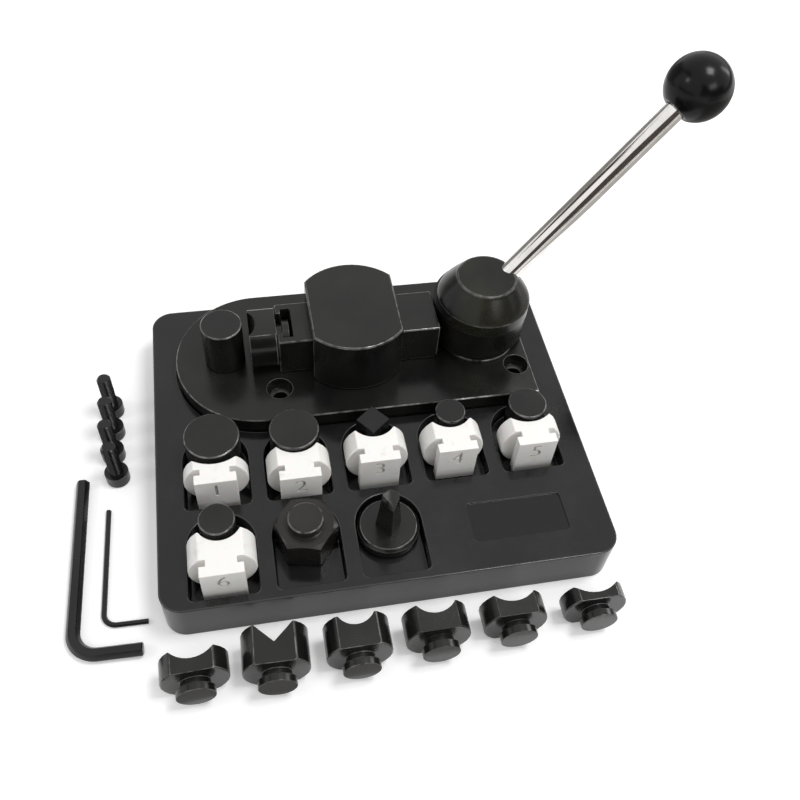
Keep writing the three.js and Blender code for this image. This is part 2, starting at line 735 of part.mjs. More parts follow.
/** The hub about its own axis: cam below, domed head above, holes for shaft, rod and screw. */
function makeHub(rodMatrix) {
  const bandTopZ = hubBandZ + hubBandHeight;
  const rise = hubTopZ - hubEdge - bandTopZ;
  const shoulder = new THREE.QuadraticBezierCurve(
    new THREE.Vector2(hubRadius, bandTopZ),
    new THREE.Vector2(hubRadius, bandTopZ + hubShoulderShare * rise),
    new THREE.Vector2(hubTopRadius, hubTopZ - hubEdge),
  );
  const head = solid(turned([
    [0, hubBandZ],
    [hubRadius, hubBandZ],
    ...shoulder.getPoints(hubShoulderSteps).map(({ x, y }) => [x, y]),
    [hubTopRadius - hubEdge, hubTopZ],
    [0, hubTopZ],
  ], largeSegments));
  const cam = solid(prism(camOutline(), hubBottomZ, hubBandZ + hubEdge));
  const shaftHole = solid(bar(
    shaftDiameter / 2 + sideGap,
    hubBottomZ - cutOverrun,
    shaftTopZ + seatGap,
    smallSegments,
  ));
  const rodHole = solid(bar(rodRadius + sideGap, rodHubEnd - seatGap, ballDistance, smallSegments)
    .rotateY(Math.PI / 2).applyMatrix4(rodMatrix));
  const screwHoleBody = solid(bar(setScrewDiameter / 2 + sideGap, 0, 2 * hubRadius, hiddenSegments)
    .rotateX(-Math.PI / 2).translate(setScrewAlongRod, 0, 0).applyMatrix4(rodMatrix));
  return cutBy(cam.add(head), [shaftHole, rodHole, screwHoleBody]);
}

/** The ball knob along X, with its flat collar and bore towards the rod. */
function makeBallKnob() {
  const start = -Math.asin(ballCollar / ballRadius);
  const profile = [[0, -ballCollar]];
  for (let i = 0; i <= ballSteps; i += 1) {
    const angle = start + ((Math.PI / 2 - start) * i) / ballSteps;
    profile.push([i === ballSteps ? 0 : ballRadius * Math.cos(angle), ballRadius * Math.sin(angle)]);
  }
  const ball = solid(turned(profile, mediumSegments));
  const bore = solid(bar(
    rodRadius + sideGap,
    -ballCollar - cutOverrun,
    -ballCollar + ballBoreDepth,
    smallSegments,
  ));
  return solid(surface(ball.subtract(bore)).rotateY(Math.PI / 2));
}

/** A cap screw that stands on its head, the head's socket facing down. */
function capScrew({ head, headHeight, shank, length, socket, socketDepth, chamfer, segments }) {
  const top = headHeight + length;
  const body = solid(turned([
    [0, 0],
    [head / 2 - chamfer, 0],
    [head / 2, chamfer],
    [head / 2, headHeight],
    [shank / 2, headHeight],
    [shank / 2, top - chamfer],
    [shank / 2 - chamfer, top],
    [0, top],
  ], segments));
  return body.subtract(solid(hexagon(socket, -cutOverrun, socketDepth)));
}

/** An M6 cap screw of some length. */
const m6Screw = (length, segments) => capScrew({
  head: screwHead,
  headHeight: screwHeadHeight,
  shank: screwShank,
  length,
  socket: screwSocket,
  socketDepth: screwSocketDepth,
  chamfer: screwChamfer,
  segments,
});

/** The bore in a male die's foot, which goes over the plate's dowel. */
const dieBore = () => solid(bar(
  dieDowelDiameter / 2 + sideGap,
  -cutOverrun,
  dieDowelHeight + dieBoreExtra,
  hiddenSegments,
));

/** A round male die. */
const roundMaleDie = (diameter) =>
  solid(chamferedBar(diameter / 2, 0, maleDieHeight, maleDieChamfer, mediumSegments)).subtract(dieBore());

/** The square male die. */
function squareMaleDie() {
  const outline = roundedRectangle(squareDieSide, squareDieSide, squareDieEdge, 0, 0, 1);
  return solid(chamferedPrism(outline, 0, maleDieHeight, maleDieChamfer)).subtract(dieBore());
}

/** The hexagonal die, its corners turned off at both ends, with a round post on it. */
function makeHexDie() {
  const corner = hexDieAcross / Math.sqrt(3);
  const hexagonal = solid(hexagon(hexDieAcross, 0, hexDieHeight, radians(hexDieTurn)));
  const turnedBlank = solid(turned([
    [0, 0],
    [hexDieAcross / 2 - hexDieRound / 2, 0],
    [corner, hexDieRound],
    [corner, hexDieHeight - hexDieRound],
    [hexDieAcross / 2 - hexDieRound / 2, hexDieHeight],
    [0, hexDieHeight],
  ], mediumSegments));
  const top = hexDieHeight + hexDiePostHeight;
  const post = solid(chamferedBar(hexDiePost / 2, hexDieHeight / 2, top, maleDieChamfer, mediumSegments));
  return hexagonal.intersect(turnedBlank).add(post).subtract(dieBore());
}

/** A four-cornered prism that narrows from its foot to its top; each end's corners run round once. */
function taperedPrism(foot, head, bottom, top) {
  const points = [...foot.map(([x, y]) => [x, y, bottom]), ...head.map(([x, y]) => [x, y, top])];
  const count = foot.length;
  const triangles = [];
  for (let i = 0; i < count; i += 1) {
    const next = (i + 1) % count;
    triangles.push(i, next, count + next, i, count + next, count + i);
    if (i > 1) {
      triangles.push(0, i, i - 1, count, count + i - 1, count + i);
    }
  }
  const geometry = new THREE.BufferGeometry();
  geometry.setAttribute('position', new THREE.Float32BufferAttribute(points.flat(), 3));
  geometry.setIndex(triangles);
  return geometry;
}

/** The V-blade die: a wedge on a round base. */
function makeBladeDie() {
  const radius = bladeBase / 2;
  const base = solid(turned([
    [0, 0],
    [radius - bladeBaseRound, 0],
    [radius, bladeBaseRound],
    [radius, bladeBaseHeight - bladeBaseRound],
    [radius - bladeBaseRound, bladeBaseHeight],
    [0, bladeBaseHeight],
  ], mediumSegments));
  const corners = (tip, half, back) => [[0, -tip], [half, bladeCornerY], [0, back], [-half, bladeCornerY]];
  const blade = solid(taperedPrism(
    corners(bladeTipFoot, bladeHalfFoot, bladeBackFoot),
    corners(bladeTipTop, bladeHalfTop, bladeBackTop),
    bladeBaseHeight / 2,
    bladeBaseHeight + bladeHeight,
  ));
  return base.add(blade).subtract(dieBore());
}

/** The round-bodied blank of a female die along Y, lowest flat down, its horned end at y = 0. */
function femaleBlank(radius, length, tail) {
  const edge = dieEdgeChamfer;
  const blank = solid(turned([
    ...tail,
    [radius - edge, -length],
    [radius, edge - length],
    [radius, 0],
    [0, 0],
  ], mediumSegments).rotateX(-Math.PI / 2));
  const reach = 2 * radius + length;
  const high = femaleDieHalfHeight;
  const flats = solid(block([-radius, -reach, -high], [radius, cutOverrun, high]));
  return blank.intersect(flats);
}

/** The notch at a female die's horned end: round, or a right-angled V where no radius is given. */
function femaleNotch(depth, radius) {
  const height = femaleDieHalfHeight + cutOverrun;
  if (radius) {
    return solid(bar(radius, -height, height, largeSegments).translate(0, radius - depth, 0));
  }
  const half = depth + cutOverrun;
  return solid(prism(new THREE.Shape([
    new THREE.Vector2(0, -depth),
    new THREE.Vector2(half, cutOverrun),
    new THREE.Vector2(-half, cutOverrun),
  ]), -height, height));
}

/** A steel female die: the blank with a round T-button behind a neck. */
function steelFemaleDie({ body, depth, radius }) {
  const neckEnd = -body - steelNeckLength;
  const buttonEnd = neckEnd - steelButtonLength;
  const tail = [
    [0, buttonEnd],
    [steelButtonRadius, buttonEnd],
    [steelButtonRadius, neckEnd],
    [steelNeckRadius, neckEnd],
    [steelNeckRadius, -body],
  ];
  return femaleBlank(steelDieRadius, body, tail).subtract(femaleNotch(depth, radius));
}

/** A nylon female die: the blank with a flat T-head behind a neck. */
function nylonFemaleDie({ body, depth, radius }) {
  const neckEnd = -body - nylonNeckLength;
  const high = femaleDieHalfHeight;
  const neck = solid(block(
    [-nylonNeckHalfWidth, neckEnd - nylonHeadThickness / 2, -high],
    [nylonNeckHalfWidth, -body / 2, high],
  ));
  const head = solid(block(
    [-nylonHeadHalfWidth, neckEnd - nylonHeadThickness, -high],
    [nylonHeadHalfWidth, neckEnd, high],
  ));
  const blank = femaleBlank(nylonDieRadius, body, [[0, -body]]);
  return joined([blank, neck, head]).subtract(femaleNotch(depth, radius));
}

/** A hex key that lies flat, from its outer corner at the origin: long arm along Y, short along X. */
function hexKey({ across, long, short, bend }) {
  const half = across / 2;
  const turnRadius = bend + half;
  const line = new StationCurve((t) => {
    const station = t * (keyBendSteps + 2) - 1;
    if (station <= 0) {
      return new THREE.Vector3(half, half + turnRadius - station * (long - half - turnRadius), half);
    }
    if (station >= keyBendSteps) {
      const run = station - keyBendSteps;
      return new THREE.Vector3(half + turnRadius + run * (short - half - turnRadius), half, half);
    }
    const angle = (Math.PI / 2) * (station / keyBendSteps);
    return new THREE.Vector3(
      half + turnRadius * (1 - Math.cos(angle)),
      half + turnRadius * (1 - Math.sin(angle)),
      half,
    );
  });
  return solid(swept(polygon(across / Math.sqrt(3), 6, Math.PI / 6), line, keyBendSteps + 2));
}

/** A finish, from its colour, roughness and metalness. */
const finish = (color, roughness, metalness) =>
  new THREE.MeshStandardMaterial({ color, roughness, metalness, flatShading: true });

const charcoalPlastic = () => finish(0x3c3c3e, 0.35, 0);
const blackSteel = () => finish(0x30312f, 0.38, 0.85);
const blackScrew = () => finish(0x232323, 0.35, 0.8);
const brightSteel = () => finish(0xa9abad, 0.3, 1);
const bronze = () => finish(0xa9834a, 0.4, 1);
const chrome = () => finish(0xdfe1e3, 0.07, 1);
const blackResin = () => finish(0x0c0c0d, 0.07, 0);
const whiteNylon = () => finish(0xf2f0ea, 0.45, 0);

/** Adds one named piece to a group, at a place and turned about Z. */
function addPiece(group, name, body, material, [x, y, z] = [0, 0, 0], turn = 0) {
  const mesh = new THREE.Mesh(surface(body), material);
  mesh.name = name;
  mesh.position.set(x, y, z);
  mesh.rotation.z = turn;
  group.add(mesh);
}

/** Adds the base plate and what is fixed to it. */
function addBench(group) {
  addPiece(group, 'tray', makeTray(), charcoalPlastic());
  addPiece(group, 'base_plate', makeBasePlate(), blackSteel());
  addPiece(group, 'guide_block', makeGuideBlock(), blackSteel());
  blockScrewPlaces().forEach(([x, y], i) => {
    const screw = m6Screw(blockScrewLength, hiddenSegments);
    addPiece(group, `guide_block_screw_${i + 1}`, screw, blackScrew(), [x, y, plateBottomZ + seatGap]);
  });
  const pin = chamferedBar(
    springPinDiameter / 2,
    plateTopZ - springPinDepth,
    plateTopZ + springPinHeight,
    screwChamfer,
    hiddenSegments,
  );
  addPiece(group, 'spring_pin', solid(pin), brightSteel(), [springPinX, benderLineY, 0]);
  const dowel = chamferedBar(
    dieDowelDiameter / 2,
    plateTopZ - dieDowelDepth,
    plateTopZ + dieDowelHeight,
    screwChamfer,
    hiddenSegments,
  );
  addPiece(group, 'die_dowel', solid(dowel), brightSteel(), [dieDowelX, benderLineY, 0]);
  const bush = ring(bushBore, bushRadius, bushBottomZ, plateTopZ, 0, smallSegments);
  addPiece(group, 'pivot_bush', bush, bronze(), [hubX, benderLineY, 0]);
  const washer = ring(
    bushBore,
    thrustWasherRadius,
    plateTopZ + seatGap,
    thrustWasherTopZ,
    thrustWasherChamfer,
    mediumSegments,
  );
  addPiece(group, 'thrust_washer', washer, blackSteel(), [hubX, benderLineY, 0]);
}

/** Adds the ram, its spring and the female die in its T-slot. */
function addRam(group) {
  addPiece(group, 'ram', makeRam(), blackSteel());
  addPiece(group, 'return_spring', makeReturnSpring(), brightSteel());
  const die = steelFemaleDie({ body: fittedDieBody, depth: fittedNotchDepth, radius: fittedNotchRadius });
  const place = [fittedHornX, benderLineY, fittedDieZ];
  addPiece(group, 'fitted_female_die', die, blackSteel(), place, Math.PI / 2);
}

/** Adds everything that turns with the handle, in a group on the hub's axis. */
function addHandle(group) {
  const turning = new THREE.Group();
  turning.position.set(hubX, benderLineY, 0);
  group.add(turning);
  const along = new THREE.Group();
  along.position.z = rodRootZ;
  along.rotation.set(0, -radians(rodElevation), radians(rodAzimuth), 'ZYX');
  along.updateMatrix();
  turning.add(along);

  addPiece(turning, 'hub', makeHub(along.matrix), blackSteel());
  const shaft = chamferedBar(shaftDiameter / 2, shaftBottomZ, shaftTopZ, screwChamfer, smallSegments);
  const shaftBore = bar(
    screwShank / 2 + sideGap,
    shaftBottomZ - cutOverrun,
    retainingHeadTopZ + retainingScrewLength + cutOverrun,
    hiddenSegments,
  );
  addPiece(turning, 'pivot_shaft', solid(shaft).subtract(solid(shaftBore)), brightSteel());
  const washer = ring(
    screwShank / 2 + sideGap,
    retainingWasherRadius,
    retainingHeadTopZ + seatGap,
    retainingWasherTopZ,
    0,
    smallSegments,
  );
  addPiece(turning, 'retaining_washer', washer, brightSteel());
  const screw = capScrew({
    head: retainingHead,
    headHeight: retainingHeadHeight,
    shank: screwShank,
    length: retainingScrewLength,
    socket: retainingSocket,
    socketDepth: retainingSocketDepth,
    chamfer: screwChamfer,
    segments: hiddenSegments,
  });
  addPiece(turning, 'retaining_screw', screw, blackScrew(), [0, 0, plateBottomZ + seatGap]);

  const rodEnd = ballDistance - ballCollar + ballBoreDepth - seatGap;
  const rod = bar(rodRadius, rodHubEnd, rodEnd, smallSegments).rotateY(Math.PI / 2);
  addPiece(along, 'handle_rod', solid(rod), chrome());
  addPiece(along, 'ball_knob', makeBallKnob(), blackResin(), [ballDistance, 0, 0]);
  const setScrewStart = rodRadius + seatGap;
  const setScrewEnd = setScrewStart + setScrewLength;
  const setScrewSocketStart = setScrewEnd - setScrewSocketDepth;
  const setScrew = solid(bar(setScrewDiameter / 2, setScrewStart, setScrewEnd, hiddenSegments))
    .subtract(solid(hexagon(setScrewSocket, setScrewSocketStart, setScrewEnd + cutOverrun)));
  addPiece(
    along,
    'rod_set_screw',
    solid(surface(setScrew).rotateX(-Math.PI / 2)),
    blackScrew(),
    [setScrewAlongRod, 0, 0],
  );
}

/** Where a male die stands in its pocket. */
function maleDiePlace(die) {
  const { middleX, frontY, length } = pocketPlace(die);
  return [middleX + die.shiftX, frontY + length + die.shiftY, pocketFloorZ + seatGap];
}

/** Where the horned end of a nylon die lies in its pocket. */
function nylonDiePlace(die) {
  const { middleX, frontY } = pocketPlace(die);
  const length = die.body + nylonNeckLength + nylonHeadThickness;
  return [middleX + die.shiftX, frontY + die.front + length, pocketFloorZ + seatGap + femaleDieHalfHeight];
}

/** Adds the male die on the plate's dowel and the dies in the tray's pockets. */
function addStoredDies(group) {
  addPiece(
    group,
    'fitted_male_die',
    roundMaleDie(fittedMaleDieDiameter),
    blackSteel(),
    [dieDowelX, benderLineY, plateTopZ + seatGap],
  );
  for (const die of maleDies) {
    addPiece(group, die.name, roundMaleDie(die.diameter), blackSteel(), maleDiePlace(die));
  }
  const turn = radians(squareDieTurn);
  addPiece(group, 'male_die_3', squareMaleDie(), blackSteel(), maleDiePlace(squareDie), turn);
  addPiece(group, 'hex_die', makeHexDie(), blackSteel(), maleDiePlace(hexDie));
  addPiece(group, 'v_blade_die', makeBladeDie(), blackSteel(), maleDiePlace(bladeDie));
  nylonDies.forEach((die, i) => {
    addPiece(group, `nylon_die_${i + 1}`, nylonFemaleDie(die), whiteNylon(), nylonDiePlace(die));
  });
}

/** A place on the bench to the left of the tray, from the tray's side and from its back. */
const besideTray = ({ aside, fromBack }) => [-trayWidth / 2 - aside, trayDepth / 2 - fromBack, 0];

/** Adds the loose pieces of the set that lie beside the tray. */
function addLoosePieces(group) {
  steelDies.forEach((die, i) => {
    const place = [die.fromLeft - trayWidth / 2, trayFrontY - die.ahead, femaleDieHalfHeight];
    addPiece(group, `steel_die_${i + 1}`, steelFemaleDie(die), blackSteel(), place, radians(die.turn));
  });
  for (const [name, key] of [['hex_key_large', largeKey], ['hex_key_small', smallKey]]) {
    addPiece(group, name, hexKey(key), blackScrew(), besideTray(key), radians(key.turn));
  }
  benchScrews.forEach((place, i) => {
    const screw = m6Screw(screwLength, smallSegments);
    addPiece(group, `bench_screw_${i + 1}`, screw, blackScrew(), besideTray(place));
  });
}

const machine = new THREE.Group();
addBench(machine);
addRam(machine);
addHandle(machine);
addStoredDies(machine);
addLoosePieces(machine);

export default machine;
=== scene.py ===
"""Looks of a bench-top ring bending machine, with its tray of dies and its loose pieces.

Sizes are written in millimetres and become metres when a mesh is made. X runs to the right, Y away
from the user and Z up; the origin is the middle of the tray's underside, which stands on the bench.
"""

import json
import logging
import math
from dataclasses import dataclass, field
from enum import Enum

import bmesh
import bpy
import numpy as np
from mathutils import Matrix, Vector
from mathutils.geometry import delaunay_2d_cdt

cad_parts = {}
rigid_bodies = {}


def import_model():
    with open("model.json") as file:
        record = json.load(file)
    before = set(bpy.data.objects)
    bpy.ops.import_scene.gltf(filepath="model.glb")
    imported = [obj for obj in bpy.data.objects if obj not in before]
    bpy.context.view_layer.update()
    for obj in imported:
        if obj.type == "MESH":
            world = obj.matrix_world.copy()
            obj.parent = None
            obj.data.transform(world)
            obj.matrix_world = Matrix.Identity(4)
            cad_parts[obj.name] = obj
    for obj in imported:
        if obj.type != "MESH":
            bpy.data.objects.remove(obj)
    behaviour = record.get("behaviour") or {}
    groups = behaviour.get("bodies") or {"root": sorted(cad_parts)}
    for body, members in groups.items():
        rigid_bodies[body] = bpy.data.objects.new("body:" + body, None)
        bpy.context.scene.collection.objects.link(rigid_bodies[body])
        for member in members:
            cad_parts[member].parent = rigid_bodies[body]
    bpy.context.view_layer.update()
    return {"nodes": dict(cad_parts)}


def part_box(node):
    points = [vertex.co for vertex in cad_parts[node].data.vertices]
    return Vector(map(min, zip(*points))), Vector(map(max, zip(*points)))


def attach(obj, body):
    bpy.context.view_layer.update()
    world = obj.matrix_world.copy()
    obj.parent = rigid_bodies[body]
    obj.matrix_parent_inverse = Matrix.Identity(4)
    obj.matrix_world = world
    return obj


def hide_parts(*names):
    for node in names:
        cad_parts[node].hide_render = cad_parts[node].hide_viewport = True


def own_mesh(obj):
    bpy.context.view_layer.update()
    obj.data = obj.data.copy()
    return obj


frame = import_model()

LOG = logging.getLogger("ring_bender")
MM = 0.001
JOIN = 2e-7  # metres: points closer than this are one point
SHORT_SIDE = 0.9  # mm: a profile's longest side inside a rounding
FULL_TURN = 2 * math.pi
BEND_ANGLE = 4  # degrees between two sides of a profile that make a bend
FLAT_ANGLE = 0.4  # degrees between two faces of a CAD solid that are one flat face
CORNER_ANGLE = 34  # degrees between two that make a corner, which is rounded
SHARP_ANGLE = 32  # degrees past which an edge is shaded sharp
ROUND_STEPS = 96  # chords of a large turned shape
BORE_STEPS = 48
SMALL_BORE_STEPS = 32
LABEL_SUNK = 0.6  # mm: the depth of the tray's label recess
Pair = tuple[float, float]
Triple = tuple[float, float, float]
Colour = Triple
Mat = tuple[float, float, float, float]
Material = bpy.types.Material
Piece = bpy.types.Object


class Lay(Enum):
    """Which way the fine marks of machining run on a steel face."""

    TURNED = "turned"
    MILLED = "milled"


class Body(Enum):
    """The moving bodies that pieces ride on."""

    BENCH = "bench"
    HANDLE = "handle"
    RAM = "ram_body"
    FEMALE_DIE = "female_die"
    MALE_DIE = "male_die"


class Slot(Enum):
    """The record's material slots, which are passed along with the new pieces."""

    TRAY = "tray_plastic"
    BLACK_STEEL = "black_steel"
    SCREW_STEEL = "screw_steel"
    BRIGHT_STEEL = "bright_steel"
    CHROME = "chrome_plate"
    BLACK_RESIN = "black_resin"
    NYLON = "white_nylon"


class Signal:
    """One output of a finish's nodes. Arithmetic on it adds Math nodes."""

    def __init__(self, recipe: "Recipe", socket: bpy.types.NodeSocket) -> None:
        """Keeps the output and the recipe that it belongs to."""
        self.recipe = recipe
        self.socket = socket

    def _math(self, operation: str, *values: "Signal | float") -> "Signal":
        """A Math node over some values, in order."""
        return self.recipe.node("ShaderNodeMath", {"operation": operation}, dict(enumerate(values)))

    def __add__(self, other: "Signal | float") -> "Signal":
        """The sum."""
        return self._math("ADD", self, other)

    def __mul__(self, other: "Signal | float") -> "Signal":
        """The product."""
        return self._math("MULTIPLY", self, other)

    def __radd__(self, other: float) -> "Signal":
        """The sum, with a plain number first."""
        return self._math("ADD", other, self)

    def __rmul__(self, other: float) -> "Signal":
        """The product, with a plain number first."""
        return self._math("MULTIPLY", other, self)

    def larger(self, other: "Signal") -> "Signal":
        """The larger of two signals."""
        return self._math("MAXIMUM", self, other)

    def sine(self) -> "Signal":
        """The sine of a signal in radians."""
        return self._math("SINE", self)

    def spread(self, low: float, high: float, to_low: float = 0.0, to_high: float = 1.0) -> "Signal":
        """The signal mapped from one range to another and kept inside it."""
        values = {"Value": self, "From Min": low, "From Max": high, "To Min": to_low, "To Max": to_high}
        return self.recipe.node("ShaderNodeMapRange", {"clamp": True}, values)


class Recipe:
    """The nodes of a material, ending in its Principled shader, or of a sky, ending in its Background."""

    def __init__(self, name: str, kind: str = "materials") -> None:
        """Starts a material or a world with only its shader and output.

        Args:
            name: its name.
            kind: "materials" or "worlds".
        """
        self.owner = getattr(bpy.data, kind).new(name)
        self.owner.use_nodes = True
        self.tree = self.owner.node_tree
        self.shader = next(n for n in self.tree.nodes if n.type in ("BSDF_PRINCIPLED", "BACKGROUND"))

    def node(self, kind: str, settings: dict, values: dict, output: int | str = 0) -> Signal:
        """Adds one node.

        Args:
            kind: the node's type.
            settings: its own settings, which are set first.
            values: a number, colour or signal for each of its sockets, by name or place.
            output: which output to return, by name or place.

        Returns:
            The chosen output as a signal.
        """
        added = self.tree.nodes.new(kind)
        for key, value in settings.items():
            setattr(added, key, value)
        for key, value in values.items():
            if isinstance(value, Signal):
                self.tree.links.new(value.socket, added.inputs[key])
            else:
                added.inputs[key].default_value = value
        return Signal(self, added.outputs[output])

    def place(self, scale: Triple = (1, 1, 1), turn: Triple = (0, 0, 0)) -> Signal:
        """Object coordinates, stretched and turned."""
        coordinates = self.node("ShaderNodeTexCoord", {}, {}, "Object")
        return self.node("ShaderNodeMapping", {}, {"Vector": coordinates, "Scale": scale, "Rotation": turn})

    def noise(
        self,
        scale: float,
        detail: float = 3.0,
        rough: float = 0.5,
        stretch: Triple = (1, 1, 1),
        turn: Triple = (0, 0, 0),
    ) -> Signal:
        """Noise between 0 and 1, its scale in waves for each metre, over stretched and turned coordinates."""
        values = {"Vector": self.place(stretch, turn), "Scale": scale, "Detail": detail, "Roughness": rough}
        return self.node("ShaderNodeTexNoise", {}, values)

    def blend(self, factor: Signal, first: Signal | Colour, second: Signal | Colour) -> Signal:
        """A colour between two others."""
        pair = [c if isinstance(c, Signal) else (*c, 1.0) for c in (first, second)]
        return self.node("ShaderNodeMix", {"data_type": "RGBA"}, {0: factor, 6: pair[0], 7: pair[1]}, 2)

    def attribute(self, name: str) -> Signal:
        """A number that the mesh carries at its points."""
        return self.node("ShaderNodeAttribute", {"attribute_name": name}, {}, "Fac")

    def seen_directly(self) -> Signal:
        """One for a ray from the camera, or one that a mirror or glass has passed on.

        Returns:
            A signal of one for such a ray and of zero for any other.
        """
        camera, mirror, glass = (
            self.node("ShaderNodeLightPath", {}, {}, f"Is {ray} Ray")
            for ray in ("Camera", "Glossy", "Transmission")
        )
        return camera.larger(mirror).larger(glass)

    def bump(self, height: Signal, depth: float) -> Signal:
        """A normal that follows a height, whose full step is a depth in millimetres."""
        return self.node("ShaderNodeBump", {}, {"Height": height, "Distance": depth * MM, "Strength": 1.0})

    def finish(self, **values: "Signal | float | Colour") -> "Material | bpy.types.World":
        """Feeds the shader's sockets, whose names have their spaces as underscores.

        Args:
            values: a number, colour or signal for each socket.

        Returns:
            The finished material or world.
        """
        for key, value in values.items():
            socket = self.shader.inputs[key.replace("_", " ")]
            if isinstance(value, Signal):
                self.tree.links.new(value.socket, socket)
            elif isinstance(value, tuple) and socket.type == "RGBA":
                socket.default_value = (*value, 1.0)
            else:
                socket.default_value = value
        return self.owner


@dataclass(frozen=True)
class BlackedSteel:
    """Machined steel blacked in an oxide bath: cloudy, oily, rubbed bright along its edges, which are worn bare
    and also carry a painted highlight.
    """

    name: str
    dark: Colour = (0.0055, 0.0056, 0.0055)
    pale: Colour = (0.012, 0.0122, 0.0095)
    # bare steel on the edges: real wear, and a painted highlight along them
    worn: Colour = (0.36, 0.36, 0.35)
    roughness: float = 0.22
    spread: float = 0.1
    lay: Lay = Lay.TURNED
    mark_pitch: float = 0.7  # mm between turning marks
    mark_depth: float = 0.0022  # mm
    wear: float = 0.62
    gloss: float = 0.35

    def make(self) -> Material:
        """Cloudy colour, worn edges that also carry a painted highlight, oily patches and fine machining marks.

        Returns:
            The material.
        """
        recipe = Recipe(self.name)
        clouds = recipe.noise(42, 3, 0.5)
        grime = recipe.noise(420, 3, 0.55)
        # Worn, bright outer edges: real wear, and a painted highlight along every outer edge.
        rubbed = recipe.attribute("edge") * recipe.noise(300, 3).spread(0.3, 0.7) * self.wear
        colour = recipe.blend(clouds.spread(0.35, 0.68), self.dark, self.pale)
        rough = clouds.spread(0.3, 0.7, self.roughness - self.spread / 2, self.roughness + self.spread / 2)
        if self.lay is Lay.TURNED:
            wobble = recipe.noise(70, 2) * 2.0
            turns = recipe.attribute("lay") * (FULL_TURN / self.mark_pitch)
            marks = (turns + wobble).sine() * 0.5 + 0.5
        else:
            marks = recipe.noise(140, 3, 0.6, (1.0, 26.0, 26.0))
        return recipe.finish(
            Base_Color=recipe.blend(rubbed, colour, self.worn),
            Metallic=rubbed,
            Roughness=rough + grime.spread(0.45, 0.75, 0.0, 0.05),
            Specular_IOR_Level=self.gloss,
            Normal=recipe.bump(marks * 0.7 + grime * 0.3, self.mark_depth),
        )


@dataclass(frozen=True)
class MouldedPlastic:
    """Charcoal plastic from a polished mould: glossy, with a fine grain, dust and light scuffs."""

    name: str
    colour: Colour = (0.0085, 0.0085, 0.0088)
    dusty: Colour = (0.015, 0.015, 0.015)
    # lighter on the edges: rubbed plastic, and a painted highlight along them
    rubbed: Colour = (0.07, 0.07, 0.07)
    wear: float = 0.5
    sunk: Colour = (0.003, 0.003, 0.003)  # the label recess's floor
    sunk_band: float = 0.2  # mm: how far above and below that floor its colour reaches
    roughness: float = 0.11
    scuff: float = 0.09  # how much rougher its scuffs are
    gloss: float = 0.36
    grain_depth: float = 0.006  # mm

    def make(self) -> Material:
        """Dusty patches, lighter rubbed edges that also carry a painted highlight, scuffs that dull the gloss,
        and a fine moulded grain.

        Returns:
            The material.
        """
        recipe = Recipe(self.name)
        dust = recipe.noise(38, 5, 0.65)
        grain = recipe.noise(2600, 2)
        scuffs = recipe.noise(70, 4, 0.7, (1.0, 14.0, 4.0), (0.0, 0.0, 0.5))
        colour = recipe.blend(dust.spread(0.45, 0.75), self.colour, self.dusty)
        # Lighter outer edges: real wear, and a painted highlight along the rims.
        colour = recipe.blend(recipe.attribute("edge") * self.wear, colour, self.rubbed)
        height = recipe.node("ShaderNodeSeparateXYZ", {}, {0: recipe.place()}, "Z")
        floor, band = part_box("tray")[1][2] - LABEL_SUNK * MM, self.sunk_band * MM
        below = height.spread(floor - band, floor - band / 2)
        above = height.spread(floor + band / 2, floor + band, 1.0, 0.0)
        in_recess = below * above * dust.spread(0.3, 0.5, 0.6, 1.0)
        rough = dust.spread(0.35, 0.7, self.roughness, self.roughness + 0.1)
        return recipe.finish(
            Base_Color=recipe.blend(in_recess, colour, self.sunk),
            Metallic=0.0,
            Roughness=rough + scuffs.spread(0.55, 0.72, 0, self.scuff),
            Specular_IOR_Level=self.gloss,
            Normal=recipe.bump(grain * 0.6 + recipe.noise(130, 2), self.grain_depth),
        )


@dataclass(frozen=True)
class WhiteNylon:
    """White cast nylon, cut on a mill: waxy, with tool marks and a little handling grime."""

    name: str
    colour: Colour = (0.92, 0.905, 0.875)
    grimy: Colour = (0.74, 0.72, 0.66)
    packed: Colour = (0.42, 0.4, 0.35)  # painted shade in the cut numbers
    wax: float = 0.12  # the share of light that goes through its surface
    wax_depth: float = 1.5  # mm: how far that light goes
    mark_depth: float = 0.006  # mm

    def make(self) -> Material:
        """Waxy white with grime, painted shade in the cut numbers, and tool marks that run across.

        Returns:
            The material.
        """
        recipe = Recipe(self.name)
        patches = recipe.noise(160, 4, 0.6)
        marks = recipe.noise(120, 2, 0.5, (3.0, 3.0, 40.0))
        colour = recipe.blend(patches.spread(0.58, 0.8), self.colour, self.grimy)
        # The cut numbers' points, marked by the grime attribute, get a painted shade.
        number_shade_mask = recipe.attribute("grime") * patches.spread(0.2, 0.6, 0.5, 1.0)
        return recipe.finish(
            Base_Color=recipe.blend(number_shade_mask, colour, self.packed),
            Roughness=patches.spread(0.3, 0.7, 0.36, 0.5),
            Subsurface_Weight=self.wax,
            Subsurface_Scale=self.wax_depth * MM,
            Normal=recipe.bump(marks, self.mark_depth),
        )


@dataclass(frozen=True)
class PolishedChrome:
    """Chromed bar: mirror-bright, with faint polishing lines and finger marks."""

    name: str
    colour: Colour = (0.84, 0.82, 0.8)
    hazy: Colour = (0.7, 0.68, 0.65)
    line_depth: float = 0.0006  # mm

    def make(self) -> Material:
        """A mirror with faint lines round it and hazier patches.

        Returns:
            The material.
        """
        recipe = Recipe(self.name)
        haze = recipe.noise(90, 4, 0.65)
        lines = recipe.noise(700, 2) * 3 + recipe.attribute("lay") * 9
        return recipe.finish(
            Base_Color=recipe.blend(haze.spread(0.45, 0.75), self.colour, self.hazy),
            Metallic=1.0,
            Roughness=haze.spread(0.35, 0.75, 0.04, 0.1),
            Normal=recipe.bump(lines.sine(), self.line_depth),
        )


